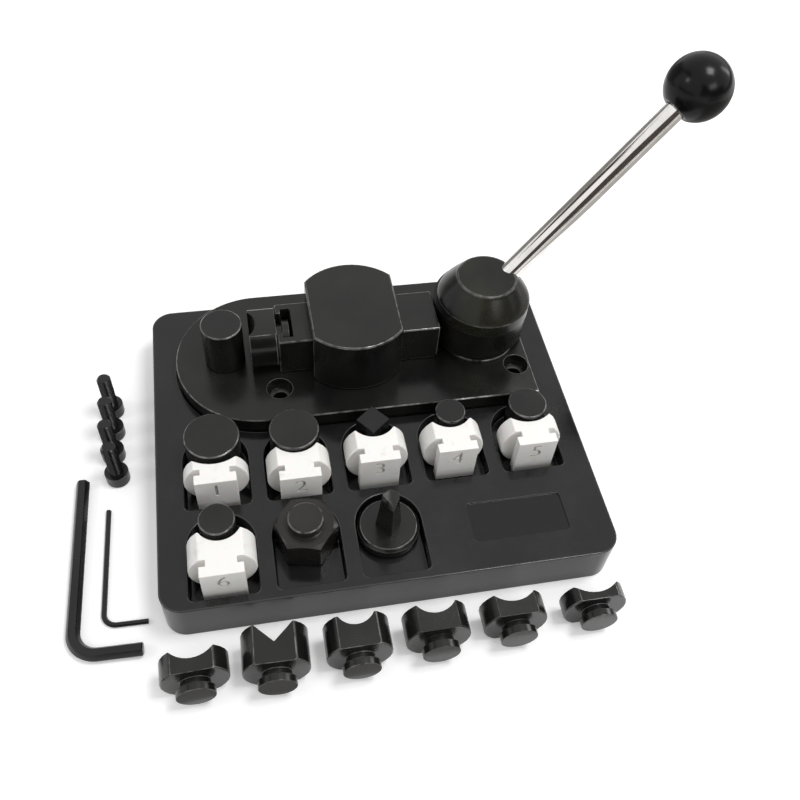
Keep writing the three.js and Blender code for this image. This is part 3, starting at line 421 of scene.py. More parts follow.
@dataclass(frozen=True)
class PhenolicResin:
    """Glossy black resin of the ball knob, lightly scratched by hands."""

    name: str
    colour: Colour = (0.004, 0.004, 0.0042)
    scratched: Colour = (0.02, 0.02, 0.02)
    scratching: float = 0.4
    gloss: float = 0.17
    ripple_depth: float = 0.02  # mm

    def make(self) -> Material:
        """Deep black gloss with a slight ripple, haze and hairline scratches.

        Returns:
            The material.
        """
        recipe = Recipe(self.name)
        haze = recipe.noise(120, 4, 0.6)
        hairs = recipe.noise(110, 2, 0.5, (1.0, 30.0, 6.0), (0.4, 0.3, 0.2))
        colour = recipe.blend(hairs.spread(0.66, 0.78) * self.scratching, self.colour, self.scratched)
        return recipe.finish(
            Base_Color=colour,
            Roughness=haze.spread(0.4, 0.75, 0.2, 0.26),
            Specular_IOR_Level=self.gloss,
            Normal=recipe.bump(recipe.noise(60, 2), self.ripple_depth),
        )


@dataclass(frozen=True)
class BareMetal:
    """Bright machined metal, such as ground steel or bronze."""

    name: str
    colour: Colour = (0.5, 0.5, 0.5)
    tarnish: Colour = (0.36, 0.35, 0.33)
    roughness: float = 0.28
    mark_depth: float = 0.002  # mm

    def make(self) -> Material:
        """Patches of tarnish and fine tool marks.

        Returns:
            The material.
        """
        recipe = Recipe(self.name)
        patches = recipe.noise(240, 4, 0.6)
        marks = recipe.noise(400, 2, 0.5, (1.0, 1.0, 30.0))
        return recipe.finish(
            Base_Color=recipe.blend(patches.spread(0.4, 0.7), self.colour, self.tarnish),
            Metallic=1.0,
            Roughness=patches.spread(0.3, 0.7, self.roughness - 0.06, self.roughness + 0.1),
            Normal=recipe.bump(marks, self.mark_depth),
        )


Finish = BlackedSteel | MouldedPlastic | WhiteNylon | PolishedChrome | PhenolicResin | BareMetal


def made(finish: Finish) -> Material:
    """A field that holds a finish's material, made with the others."""
    return field(default_factory=finish.make)


@dataclass
class Finishes:
    """Every finish on the object, made once."""

    tray: Material = made(MouldedPlastic("tray_plastic"))
    milled: Material = made(BlackedSteel("milled_black_steel", lay=Lay.MILLED))
    turned: Material = made(BlackedSteel("turned_black_steel"))
    hub: Material = made(
        BlackedSteel(
            "hub_black_steel",
            pale=(0.018, 0.0175, 0.0105),
            roughness=0.24,
            mark_pitch=0.8,
            wear=0.3,
            gloss=0.26,
        )
    )
    browned: Material = made(
        BlackedSteel("browned_black_steel", (0.0075, 0.0068, 0.0062), (0.019, 0.0158, 0.0136), roughness=0.25)
    )
    screw: Material = made(BlackedSteel("screw_black_steel", pale=(0.009, 0.009, 0.009)))
    key: Material = made(
        BlackedSteel("key_black_steel", pale=(0.01, 0.01, 0.01), roughness=0.26, lay=Lay.MILLED)
    )
    nylon: Material = made(WhiteNylon("white_nylon"))
    chrome: Material = made(PolishedChrome("chrome_plate"))
    resin: Material = made(PhenolicResin("black_resin"))
    bright: Material = made(BareMetal("bright_steel"))
    bronze: Material = made(BareMetal("bronze", (0.55, 0.33, 0.13), (0.33, 0.18, 0.07), 0.32))


def around(angles: np.ndarray) -> np.ndarray:
    """The way out at each angle in radians: its cosine and its sine."""
    return np.stack([np.cos(angles), np.sin(angles)], axis=1)


def full_turn(steps: int) -> np.ndarray:
    """Even angles of one turn, in radians."""
    return np.linspace(0, FULL_TURN, steps, endpoint=False)


def arc(centre: Pair, radius: float, start: float, end: float, steps: int) -> np.ndarray:
    """Points of an arc: the centre plus the radius times the cosine and sine of each angle.

    Args:
        centre: the arc's middle.
        radius: its radius.
        start: the first point's angle in degrees.
        end: the last point's angle in degrees.
        steps: how many chords the arc has.

    Returns:
        One row of two numbers for each point.
    """
    return np.array(centre) + radius * around(np.radians(np.linspace(start, end, steps + 1)))


def circle(centre: Pair, radius: float, steps: int = BORE_STEPS) -> np.ndarray:
    """A closed, anticlockwise outline of a circle."""
    return arc(centre, radius, 0, 360, steps)[:-1]


def raised(flat: np.ndarray, height: float | np.ndarray) -> np.ndarray:
    """Points of a plan put at a height, or at heights that stretch to one for each point."""
    return np.concatenate([flat, np.broadcast_to(height, (*flat.shape[:-1], 1))], axis=-1)


def rounded_rectangle(size: Pair, radius: float, steps: int, centre: Pair = (0, 0)) -> np.ndarray:
    """A closed outline of four arcs about the corners, anticlockwise from the lower right.

    Args:
        size: its width and depth.
        radius: its corners' radius.
        steps: how many chords each corner has.
        centre: its middle.

    Returns:
        One row of two numbers for each point.
    """
    x, y = size[0] / 2 - radius, size[1] / 2 - radius
    middles = [(x, -y), (x, y), (-x, y), (-x, -y)]
    corners = [arc(middle, radius, 90 * i - 90, 90 * i, steps) for i, middle in enumerate(middles)]
    return np.array(centre) + np.concatenate(corners)


def eased(corners: list[Pair], radius: float, steps: int = 4) -> np.ndarray:
    """A line through corners, each corner rounded.

    A corner becomes the quadratic curve from a point one radius before it to one a radius after
    it, with the corner as its middle handle. A radius is cut to half the shorter side beside it.

    Args:
        corners: the line's corners, in order.
        radius: the rounding's length along each side.
        steps: how many chords each rounding has.

    Returns:
        The points of the rounded line.
    """
    line = np.array(corners, dtype=float)
    sides = np.diff(line, axis=0)
    lengths = np.linalg.norm(sides, axis=1)
    ways = sides / lengths[:, None]
    reach = np.minimum(radius, 0.5 * np.minimum(lengths[:-1], lengths[1:]))[:, None]
    before = line[1:-1] - ways[:-1] * reach
    after = line[1:-1] + ways[1:] * reach
    share = np.linspace(0, 1, steps + 1)[None, :, None]
    curve = (1 - share) ** 2 * before[:, None] + 2 * share * (1 - share) * line[1:-1, None]
    curve = curve + share**2 * after[:, None]
    return np.concatenate([line[:1], curve.reshape(-1, 2), line[-1:]])


def outward(loop: np.ndarray) -> np.ndarray:
    """Each corner's mitred way out of an anticlockwise loop.

    It is the sum of the two sides' unit normals over one plus their dot product, so that a step
    along it moves both sides outwards by the step.

    Args:
        loop: the outline's points.

    Returns:
        One row of two numbers for each corner.
    """
    before = loop - np.roll(loop, 1, axis=0)
    before = before / np.linalg.norm(before, axis=1, keepdims=True)
    after = np.roll(before, -1, axis=0)
    normals = [np.stack([side[:, 1], -side[:, 0]], axis=1) for side in (before, after)]
    return (normals[0] + normals[1]) / (1 + np.sum(normals[0] * normals[1], axis=1, keepdims=True))


def inside(points: np.ndarray, loops: list[np.ndarray]) -> np.ndarray:
    """Whether each point is inside an odd number of loops, by counting crossings to its right.

    Args:
        points: the points to test.
        loops: closed outlines.

    Returns:
        True for each point that is inside.
    """
    odd = np.zeros(len(points), dtype=bool)
    for loop in loops:
        x1, y1 = loop[:, 0], loop[:, 1]
        x2, y2 = np.roll(x1, -1), np.roll(y1, -1)
        x, y = points[:, :1], points[:, 1:]
        spans = (y1 > y) != (y2 > y)
        rise = np.where(y2 == y1, 1.0, y2 - y1)
        crossings = spans & (x < (x2 - x1) * (y - y1) / rise + x1)
        odd ^= np.sum(crossings, axis=1) % 2 == 1
    return odd


def row_marks(profile: np.ndarray) -> np.ndarray:
    """The lay and edge marks of a profile's rows.

    The lay is the length along the profile so far. A row is on an edge where it lies between two
    short sides and the profile bends at it or at a neighbour, which holds inside a rounding or a
    chamfer and not where it ends.

    Args:
        profile: the profile's points.

    Returns:
        Two rows of numbers, one for each point.
    """
    sides = np.diff(profile, axis=0)
    lengths = np.linalg.norm(sides, axis=1)
    ways = sides / np.maximum(lengths, 1e-9)[:, None]
    bends = np.pad(np.sum(ways[:-1] * ways[1:], axis=1) < math.cos(math.radians(BEND_ANGLE)), 2)
    near = bends[:-2] | bends[1:-1] | bends[2:]
    short = np.pad(lengths < SHORT_SIDE, 1)
    on_edge = near & short[:-1] & short[1:]
    return np.stack([np.concatenate([[0], np.cumsum(lengths)]), on_edge.astype(float)])


def chamfered(bottom: float, top: float, edge: float, soft: float = 0.12) -> np.ndarray:
    """A wall's profile with a flat chamfer at its foot and its top, each slightly softened.

    Args:
        bottom: the height of the wall's foot.
        top: the height of its top.
        edge: how wide and how high each chamfer is.
        soft: how long the rounding of its corners is.

    Returns:
        Rows of [way out, height].
    """
    line = eased([(-edge, bottom), (0, bottom + edge), (0, top - edge), (-edge, top)], soft, 3)
    ends = 0.9 * line[[0, -1]] + 0.1 * line[[1, -2]]
    return np.concatenate([line[:1], ends[:1], line[1:-1], ends[1:], line[-1:]])


class Shell:
    """Gathers patches of surface, in millimetres, into the mesh of one piece."""

    def __init__(self) -> None:
        """Starts with nothing."""
        self.points: list[np.ndarray] = []
        self.marks: list[np.ndarray] = []
        self.faces: list[tuple[int, ...]] = []

    def _keep(self, points: np.ndarray, marks: np.ndarray | None = None) -> int:
        """Keeps some points with their lay and edge marks.

        Args:
            points: one row of three numbers for each.
            marks: a row of lays and a row of edge marks, or none.

        Returns:
            The number of the first.
        """
        first = sum(map(len, self.points))
        self.points.append(points)
        self.marks.append(np.zeros((2, len(points))) if marks is None else marks)
        return first

    def grid(self, points: np.ndarray, marks: np.ndarray | None = None) -> "Shell":
        """Adds a sheet of quads over a grid of points, whose rows close on themselves.

        Args:
            points: rows, columns and three numbers.
            marks: how far along the surface each row lies, and whether it is on an edge.

        Returns:
            This shell.
        """
        rows, columns = points.shape[:2]
        wide = None if marks is None else np.repeat(marks, columns, axis=1)
        index = self._keep(points.reshape(-1, 3), wide) + np.arange(rows * columns).reshape(rows, columns)
        index = np.hstack([index, index[:, :1]])
        quads = np.stack([index[:-1, :-1], index[:-1, 1:], index[1:, 1:], index[1:, :-1]], axis=-1)
        self.faces.extend(map(tuple, quads.reshape(-1, 4).tolist()))
        return self

    def strip(self, rows: np.ndarray) -> "Shell":
        """Adds a sheet of quads between two open rows of points.

        Args:
            rows: the two rows.

        Returns:
            This shell.
        """
        count = rows.shape[1]
        first = self._keep(rows.reshape(-1, 3)) + np.arange(count - 1)
        quads = np.stack([first, first + 1, first + count + 1, first + count], axis=1)
        self.faces.extend(map(tuple, quads.tolist()))
        return self

    def cap(self, loop: np.ndarray) -> "Shell":
        """Adds one flat face round a loop of points.

        Args:
            loop: the points, in order.

        Returns:
            This shell.
        """
        first = self._keep(loop)
        self.faces.append(tuple(range(first, first + len(loop))))
        return self

    def sheet(self, loops: list[np.ndarray], height: float) -> "Shell":
        """Adds a level sheet between outlines; a point inside an odd number of them is filled.

        Args:
            loops: closed outlines of two numbers for each point.
            height: the sheet's height.

        Returns:
            This shell.
        """
        flat = np.concatenate(loops)
        starts = np.cumsum([0] + [len(loop) for loop in loops])
        edges = [
            (first + i, first + (i + 1) % count)
            for first, count in zip(starts, (len(loop) for loop in loops))
            for i in range(count)
        ]
        filled = delaunay_2d_cdt([Vector(p) for p in flat.tolist()], edges, [], 0, 1e-6)
        corners = np.array([tuple(p) for p in filled[0]])
        triangles = np.array([tuple(face) for face in filled[2]])
        kept = triangles[inside(corners[triangles].mean(axis=1), loops)]
        first = self._keep(raised(corners, height))
        self.faces.extend(map(tuple, (kept + first).tolist()))
        return self

    def walls(self, loop: np.ndarray, profile: np.ndarray) -> "Shell":
        """Carries a profile of [way out, height] round an outline: each point steps out by its mitre."""
        return self._level(loop[None] + profile[:, :1, None] * outward(loop)[None], profile)

    def turned(
        self, profile: np.ndarray | list[Pair], centre: Pair = (0, 0), steps: int = ROUND_STEPS
    ) -> "Shell":
        """Turns a profile of [radius, height] about an upright line.

        Each point is the centre plus the radius times the cosine and sine of the turn's angle.
        """
        profile, ring = np.asarray(profile), around(full_turn(steps))
        return self._level(np.array(centre) + profile[:, :1, None] * ring[None], profile)

    def _level(self, flat: np.ndarray, profile: np.ndarray) -> "Shell":
        """Adds a grid of level rows, at a profile's heights and with its marks."""
        return self.grid(raised(flat, profile[:, 1:, None]), row_marks(profile))

    def prism(self, loop: np.ndarray, bottom: float, top: float, edge: float) -> "Shell":
        """A closed upright prism of an outline, its upper and lower edges rounded.

        Args:
            loop: its outline, anticlockwise.
            bottom: the height of its foot.
            top: the height of its top.
            edge: how long the rounding of its edges is.

        Returns:
            This shell.
        """
        ends = loop - edge * outward(loop)
        self.walls(loop, eased([(-edge, bottom), (0, bottom), (0, top), (-edge, top)], edge))
        return self.cap(raised(ends, bottom)).cap(raised(ends, top))

    def moved(self, matrix: Matrix) -> "Shell":
        """Puts what has been gathered so far in another place.

        Args:
            matrix: the turn and the shift, in millimetres.

        Returns:
            This shell.
        """
        turn = np.array(matrix)
        self.points = [points @ turn[:3, :3].T + turn[:3, 3] for points in self.points]
        return self

    def build(self, name: str, sharp: float = SHARP_ANGLE) -> Piece:
        """Makes the object: its points merged, its faces outwards, its edges sharp past an angle.

        Args:
            name: the piece's name.
            sharp: the angle in degrees past which an edge stays sharp.

        Returns:
            The object, at the origin.
        """
        mesh = bpy.data.meshes.new(name)
        mesh.from_pydata((np.concatenate(self.points) * MM).tolist(), [], self.faces)
        for key, values in zip(("lay", "edge"), np.concatenate(self.marks, axis=1).astype(np.float32)):
            mesh.attributes.new(key, "FLOAT", "POINT").data.foreach_set("value", values)
        return finished(mesh, name, sharp)


def shade(mesh: bpy.types.Mesh, sharp: float) -> None:
    """Shades a mesh smooth, apart from its edges past an angle in degrees."""
    mesh.polygons.foreach_set("use_smooth", np.ones(len(mesh.polygons), dtype=bool))
    mesh.set_sharp_from_angle(angle=math.radians(sharp))


def readings(items: bpy.types.bpy_prop_collection, key: str, width: int, kind: type = float) -> np.ndarray:
    """A row of numbers for each point or edge of a mesh.

    Args:
        items: the mesh's points, its edges or an attribute's values.
        key: the name of what is read.
        width: how many numbers each has.
        kind: the numbers' type.

    Returns:
        One row for each item.
    """
    values = np.empty(width * len(items), dtype=kind)
    items.foreach_get(key, values)
    return values.reshape(-1, width)


def finished(mesh: bpy.types.Mesh, name: str, sharp: float) -> Piece:
    """Merges a mesh's doubles, turns its faces outwards, shades it and makes its object.

    Args:
        mesh: the mesh, in metres.
        name: the piece's name.
        sharp: the angle in degrees past which an edge stays sharp.

    Returns:
        The object, at the origin.
    """
    work = bmesh.new()
    work.from_mesh(mesh)
    bmesh.ops.remove_doubles(work, verts=work.verts, dist=JOIN)
    bmesh.ops.dissolve_degenerate(work, edges=work.edges, dist=JOIN)
    bmesh.ops.recalc_face_normals(work, faces=work.faces)
    work.to_mesh(mesh)
    work.free()
    keep_outer_edges(mesh)
    shade(mesh, sharp)
    piece = bpy.data.objects.new(name, mesh)
    bpy.context.scene.collection.objects.link(piece)
    return piece


def keep_outer_edges(mesh: bpy.types.Mesh) -> None:
    """Drops the edge mark of points in hollow corners.

    A point is in a hollow where the mean of its neighbours lies on the side its normal faces.

    Args:
        mesh: the mesh, which may have edge marks.
    """
    mark = mesh.attributes.get("edge")
    if mark is None:
        return
    points, normals = readings(mesh.vertices, "co", 3), readings(mesh.vertices, "normal", 3)
    pairs = readings(mesh.edges, "vertices", 2, np.int64)
    starts, ends = np.concatenate([pairs, pairs[:, ::-1]]).T
    sums, shares = np.zeros_like(points), np.zeros(len(points))
    np.add.at(sums, starts, points[ends])
    np.add.at(shares, starts, 1)
    lean = np.sum((sums / np.maximum(shares, 1)[:, None] - points) * normals, axis=1)
    values = readings(mark.data, "value", 1, np.float32).ravel()
    mark.data.foreach_set("value", np.where(lean < 0, values, 0).astype(np.float32))


def fine_copy(node: str, name: str, edge: float) -> Piece:
    """A CAD node's shape as one merged mesh with rounded edges.

    Args:
        node: the CAD node.
        name: the new piece's name.
        edge: how wide its edges are rounded, in millimetres.

    Returns:
        The new piece.
    """
    mesh = frame["nodes"][node].data.copy()
    mesh.name = name
    mesh.materials.clear()
    work = bmesh.new()
    work.from_mesh(mesh)
    bmesh.ops.remove_doubles(work, verts=work.verts, dist=JOIN)
    flat = math.radians(FLAT_ANGLE)
    bmesh.ops.dissolve_limit(work, angle_limit=flat, verts=work.verts, edges=work.edges, delimit={"NORMAL"})
    mark = work.verts.layers.float.new("edge")
    corner = math.radians(CORNER_ANGLE)
    corners = [e for e in work.edges if e.is_manifold and e.calc_face_angle() > corner]
    rounded = bmesh.ops.bevel(
        work, geom=corners, offset=edge * MM, segments=3, profile=0.5, affect="EDGES", clamp_overlap=True
    )
    fresh = set(rounded["faces"])
    for vertex in rounded["verts"]:
        vertex[mark] = float(all(face in fresh for face in vertex.link_faces))
    work.to_mesh(mesh)
    work.free()
    return finished(mesh, name, SHARP_ANGLE)


def carve(piece: Piece, cutter: Piece, sharp: float) -> None:
    """Takes one solid away from another, drops the cutter and shades what is left.

    Args:
        piece: the solid to carve.
        cutter: the solid that is taken away.
        sharp: the angle in degrees past which an edge stays sharp.
    """
    modifier = piece.modifiers.new("carve", "BOOLEAN")
    modifier.operation = "DIFFERENCE"
    modifier.solver = "EXACT"
    modifier.object = cutter
    mesh = bpy.data.meshes.new_from_object(piece.evaluated_get(bpy.context.evaluated_depsgraph_get()))
    piece.modifiers.clear()
    old, piece.data = piece.data, mesh
    name = old.name
    bpy.data.batch_remove([old, cutter.data, cutter])
    mesh.name = name
    shade(mesh, sharp)


@dataclass(frozen=True)
class NodeBox:
    """A CAD node's box at rest, in millimetres."""

    low: np.ndarray
    high: np.ndarray

    @classmethod
    def of(cls, node: str) -> "NodeBox":
        """The box of a node."""
        low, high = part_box(node)
        return cls(np.array(low) / MM, np.array(high) / MM)

    @property
    def size(self) -> np.ndarray:
        """The box's size."""
        return self.high - self.low

    @property
    def middle(self) -> np.ndarray:
        """The box's middle."""
        return (self.low + self.high) / 2

    @property
    def centre(self) -> np.ndarray:
        """The middle of the box's plan."""
        return self.middle[:2]

    @property
    def heights(self) -> Pair:
        """The heights of its foot and its top."""
        return self.low[2], self.high[2]


@dataclass
class Assembly:
    """What every sub-assembly has: the finishes, and a way to hand a piece over."""

    finishes: Finishes

    def hand_over(
        self, piece: Piece, material: Material, slot: Slot, node: str, body: Body = Body.BENCH
    ) -> None:
        """Gives a piece its finish and body, and puts it in place of its CAD node.

        Args:
            piece: the new piece.
            material: its finish.
            slot: the record's slot for its finish, which is not used.
            node: the CAD node that it replaces.
            body: the body that it rides on.
        """
        piece.data.materials.clear()
        piece.data.materials.append(material)
        modifier = piece.modifiers.new("even_normals", "WEIGHTED_NORMAL")
        modifier.keep_sharp, modifier.weight = True, 100
        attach(piece, body.value)
        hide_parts(node)
        LOG.info("%s: %d faces, on %s", piece.name, len(piece.data.polygons), body.value)

    @staticmethod
    def dress(material: Material, *nodes: str) -> None:
        """Gives CAD nodes that stay a better finish.

        Args:
            material: the finish.
            nodes: the CAD nodes' names.
        """
        for node in nodes:
            for slot in frame["nodes"][node].material_slots:
                slot.material = material
            LOG.info("%s: kept, dressed in %s", node, material.name)


@dataclass
class DieTray(Assembly):
    """The moulded tray with its die pockets, plate recess and bare label recess."""

    corner: float = 9.0
    edge: float = 0.8
    rim: float = 0.7  # rounding of the pockets' upper rims
    foot: float = 0.9  # rounding at the pockets' floors
    pocket_half: float = 13.2
    pocket_depth: float = 7.0
    pocket_corner: float = 2.0
    side_margin: float = 11.1
    back_front_y: float = -33.0
    front_front_y: float = -72.2
    back_length: float = 20.7
    first_length: float = 23.3
    front_length: float = 22.6
    recess_floor: float = 14.8
    recess_gap: float = 0.5
    back_wall: float = 3.0
    label_size: Pair = (39.5, 17.5)
    label_middle: Pair = (52.3, -54.8)
    label_corner: float = 1.5
    wall: float = 3.0
    rib: float = 2.0
    cells: int = 6
    cell_top: float = 10.0
    cell_corner: float = 1.5
    corner_steps: int = 14
    small_corner_steps: int = 6
    cell_corner_steps: int = 4
    pocket_back_steps: int = 48
    recess_steps: int = 60
    back_count: int = 5
    front_count: int = 3
    cell_edge: float = 0.3
    boss: float = 5.5
    boss_top: float = 12.0
    hole: float = 3.3
    hole_top: float = 17.0
    below: float = -2.0  # where the cutters start, under the tray
    sharp: float = 40.0

    def pockets(self) -> list[np.ndarray]:
        """The outlines of the eight pockets: a straight front with small corners and a round back.

        Returns:
            Closed outlines from left to right, those of the back row first.
        """
        outer = NodeBox.of("tray").high[0] - self.side_margin - self.pocket_half
        inner = self.pocket_half - self.pocket_corner
        small, steps = self.pocket_corner, self.small_corner_steps
        rows = [
            (self.back_front_y, self.back_length, self.back_count),
            (self.front_front_y, self.front_length, self.front_count),
        ]
        outlines = []
        for front, length, count in rows:
            for column in range(count):
                x, y = -outer + column * outer / 2, front + small
                long = self.first_length if not outlines else length
                right = arc((x + inner, y), small, -90, 0, steps)
                back = arc((x, front + long), self.pocket_half, 0, 180, self.pocket_back_steps)
                left = arc((x - inner, y), small, 180, 270, steps)
                outlines.append(np.concatenate([right, back, left]))
        return outlines

    def notch(self) -> np.ndarray:
        """The plate recess's outline, from the tray's back edge round the plate and back to it.

        Returns:
            Its points, of which the first and the last are on the tray's back edge.
        """
        plate = NodeBox.of("base_plate")
        back, half = NodeBox.of("tray").high[1], plate.size[1] / 2
        line_y, radius = plate.middle[1], half + self.recess_gap
        reach = back - self.back_wall - line_y
        open_angle = math.degrees(math.acos(-math.sqrt(radius**2 - reach**2) / radius))
        right = plate.high[0] + self.recess_gap
        bend = arc((plate.low[0] + half, line_y), radius, 270, open_angle, self.recess_steps)
        return np.concatenate([[(right, back), (right, line_y - radius)], bend, [(bend[-1][0], back)]])

    def build(self) -> None:
        """Builds the upper shell, then carves the cells and screw holes out from below."""
        half_x, half_y, top = NodeBox.of("tray").high
        outline = rounded_rectangle((2 * half_x, 2 * half_y), self.corner, self.corner_steps)
        right, left = np.split(outline, 2)
        notch = self.notch()
        deck = np.concatenate([right, notch, left])
        lower = np.concatenate([right, notch[[0, -1]], left])
        shell, edge = Shell(), self.edge
        shell.walls(deck, eased([(-edge, top), (0, top), (0, self.recess_floor)], edge))
        loops = [deck - edge * outward(deck)]
        floor, foot = top - self.pocket_depth, 2 * self.foot
        for pocket in self.pockets():
            shell.walls(pocket, eased([(self.rim, top), (0, top), (0, floor), (-foot, floor)], self.rim))
            shell.sheet([pocket - foot * outward(pocket)], floor)
            loops.append(pocket + self.rim * outward(pocket))
        steps = self.small_corner_steps
        label = rounded_rectangle(self.label_size, self.label_corner, steps, self.label_middle)
        rim, sunk = LABEL_SUNK / 2, top - LABEL_SUNK
        shell.walls(label, eased([(rim, top), (0, top), (0, sunk), (-rim, sunk)], rim))
        shell.sheet([label - rim * outward(label)], sunk)
        loops.append(label + rim * outward(label))
        shell.sheet(loops, top).sheet([notch], self.recess_floor)
        shell.walls(lower, eased([(0, self.recess_floor), (0, 0), (-edge, 0)], edge))
        shell.sheet([lower - edge * outward(lower)], 0.0)
        piece = shell.build("tray_body", self.sharp)
        self.carve_underside(piece, half_x, half_y)
        self.hand_over(piece, self.finishes.tray, Slot.TRAY, "tray")

    def carve_underside(self, piece: Piece, half_x: float, half_y: float) -> None:
        """Carves the cells between the ribs, then the screw holes through their bosses.

        Args:
            piece: the tray's upper shell.
            half_x: half the tray's width.
            half_y: half its depth.
        """
        wide, deep = (2 * (half - self.wall) / self.cells for half in (half_x, half_y))
        hollows, bosses, holes = Shell(), Shell(), Shell()
        for column in range(self.cells):
            for row in range(self.cells):
                centre = (self.wall - half_x + wide * (column + 0.5), self.wall - half_y + deep * (row + 0.5))
                size = (wide - self.rib, deep - self.rib)
                cell = rounded_rectangle(size, self.cell_corner, self.cell_corner_steps, centre)
                hollows.prism(cell, self.below / 2, self.cell_top, self.cell_edge)
        for centre in BasePlate.bench_holes():
            for shell, radius, top in ((bosses, self.boss, self.boss_top), (holes, self.hole, self.hole_top)):
                corners = [(0, self.below), (radius, self.below), (radius, top), (0, top)]
                shell.turned(corners, centre, SMALL_BORE_STEPS)
        hollow = hollows.build("tray_hollows")
        carve(hollow, bosses.build("tray_bosses"), self.sharp)
        carve(piece, hollow, self.sharp)
        carve(piece, holes.build("tray_screw_holes"), self.sharp)


@dataclass
class BasePlate(Assembly):
    """The steel plate, round at its left end, with its holes, and the pieces fixed in it."""

    edge: float = 0.5
    hole_left: float = 43.3  # from the plate's left end to the first bench holes
    hole_right: float = 6.5
    hole_half_pitch: float = 20.0
    counterbore: float = 5.5
    counterbore_depth: float = 6.5
    hole: float = 3.3
    rim: float = 0.3
    bush_hole: float = 9.55
    washer_pocket: float = 10.0
    washer_pocket_top: float = 20.5
    washer_hole: float = 7.3
    pin_hole: float = 2.75
    dowel_depth: float = 8.2
    end_steps: int = 90

    @classmethod
    def bench_holes(cls) -> list[Pair]:
        """The middles of the four bench screw holes, from the plate's ends and middle line.

        Returns:
            Two numbers for each hole.
        """
        plate = NodeBox.of("base_plate")
        columns = (plate.low[0] + cls.hole_left, plate.high[0] - cls.hole_right)
        rows = (plate.middle[1] - cls.hole_half_pitch, plate.middle[1] + cls.hole_half_pitch)
        return [(x, y) for x in columns for y in rows]

    def build(self) -> None:
        """Builds the plate and the washer that the hub turns on, and dresses the hidden pieces."""
        box = NodeBox.of("base_plate")
        bottom, top = box.heights
        half, line_y, right = box.size[1] / 2, box.middle[1], box.high[0]
        left = arc((box.low[0] + half, line_y), half, 90, 270, self.end_steps)
        outline = np.concatenate([[(right, line_y - half), (right, line_y + half)], left])
        shell = Shell().walls(outline, chamfered(bottom, top, self.edge))
        upper = [outline - self.edge * outward(outline)]
        lower = [upper[0]]
        ledge, pocket, floor = top - self.counterbore_depth, self.washer_pocket_top, top - self.dowel_depth
        for centre in self.bench_holes():
            wide, hole = self.counterbore, self.hole
            steps = [(wide, top), (wide, ledge), (hole, ledge), (hole, bottom)]
            upper.append(self.bore(shell, centre, steps))
            lower.append(circle(centre, hole))
        centre, wide = NodeBox.of("thrust_washer").centre, self.washer_pocket
        steps = [(self.bush_hole, top), (self.bush_hole, pocket), (wide, pocket), (wide, bottom)]
        upper.append(self.bore(shell, centre, steps))
        lower.append(circle(centre, wide))
        steps = [(self.pin_hole, top), (self.pin_hole, floor), (0, floor)]
        upper.append(self.bore(shell, NodeBox.of("die_dowel").centre, steps))
        shell.sheet(upper, top).sheet(lower, bottom)
        self.hand_over(shell.build("plate_body"), self.finishes.milled, Slot.BLACK_STEEL, "base_plate")
        self.build_thrust_washer()
        self.dress(self.finishes.bright, "spring_pin", "die_dowel")
        self.dress(self.finishes.bronze, "pivot_bush")
        self.dress(self.finishes.screw, *(f"guide_block_screw_{number}" for number in range(1, 5)))

    def bore(self, shell: Shell, centre: Pair, profile: list[Pair]) -> np.ndarray:
        """Adds a bore whose mouth is slightly rounded, gives a counterbore's ledge a painted highlight, and
        returns the mouth's outline.

        Args:
            shell: the plate's surfaces so far.
            centre: the bore's middle.
            profile: its [radius, height] corners from the mouth down.

        Returns:
            The outline that the plate's upper face needs.
        """
        radius, top = profile[0]
        mouth = radius + self.rim
        line = eased([(mouth, top), *profile], self.rim, 3)
        shell.turned(line, centre, BORE_STEPS)
        # The ledge takes the edge mark, so the bright worn-edge colour paints a highlight on it.
        ledge = (np.abs(line[:, 1] - profile[1][1]) < self.rim) & (line[:, 0] < radius)
        shell.marks[-1][1] = np.maximum(shell.marks[-1][1], np.repeat(ledge, BORE_STEPS))
        return circle(centre, mouth)

    def build_thrust_washer(self) -> None:
        """The flat washer between plate and hub."""
        box = NodeBox.of("thrust_washer")
        outer, inner = box.size[0] / 2, self.washer_hole
        low, high = box.heights
        profile = eased([(inner, low), (outer, low), (outer, high), (inner, high)], self.rim, 3)
        washer = Shell().turned(np.concatenate([profile, profile[:1]]), box.centre).build("thrust_washer_ring")
        self.hand_over(washer, self.finishes.turned, Slot.BLACK_STEEL, "thrust_washer")


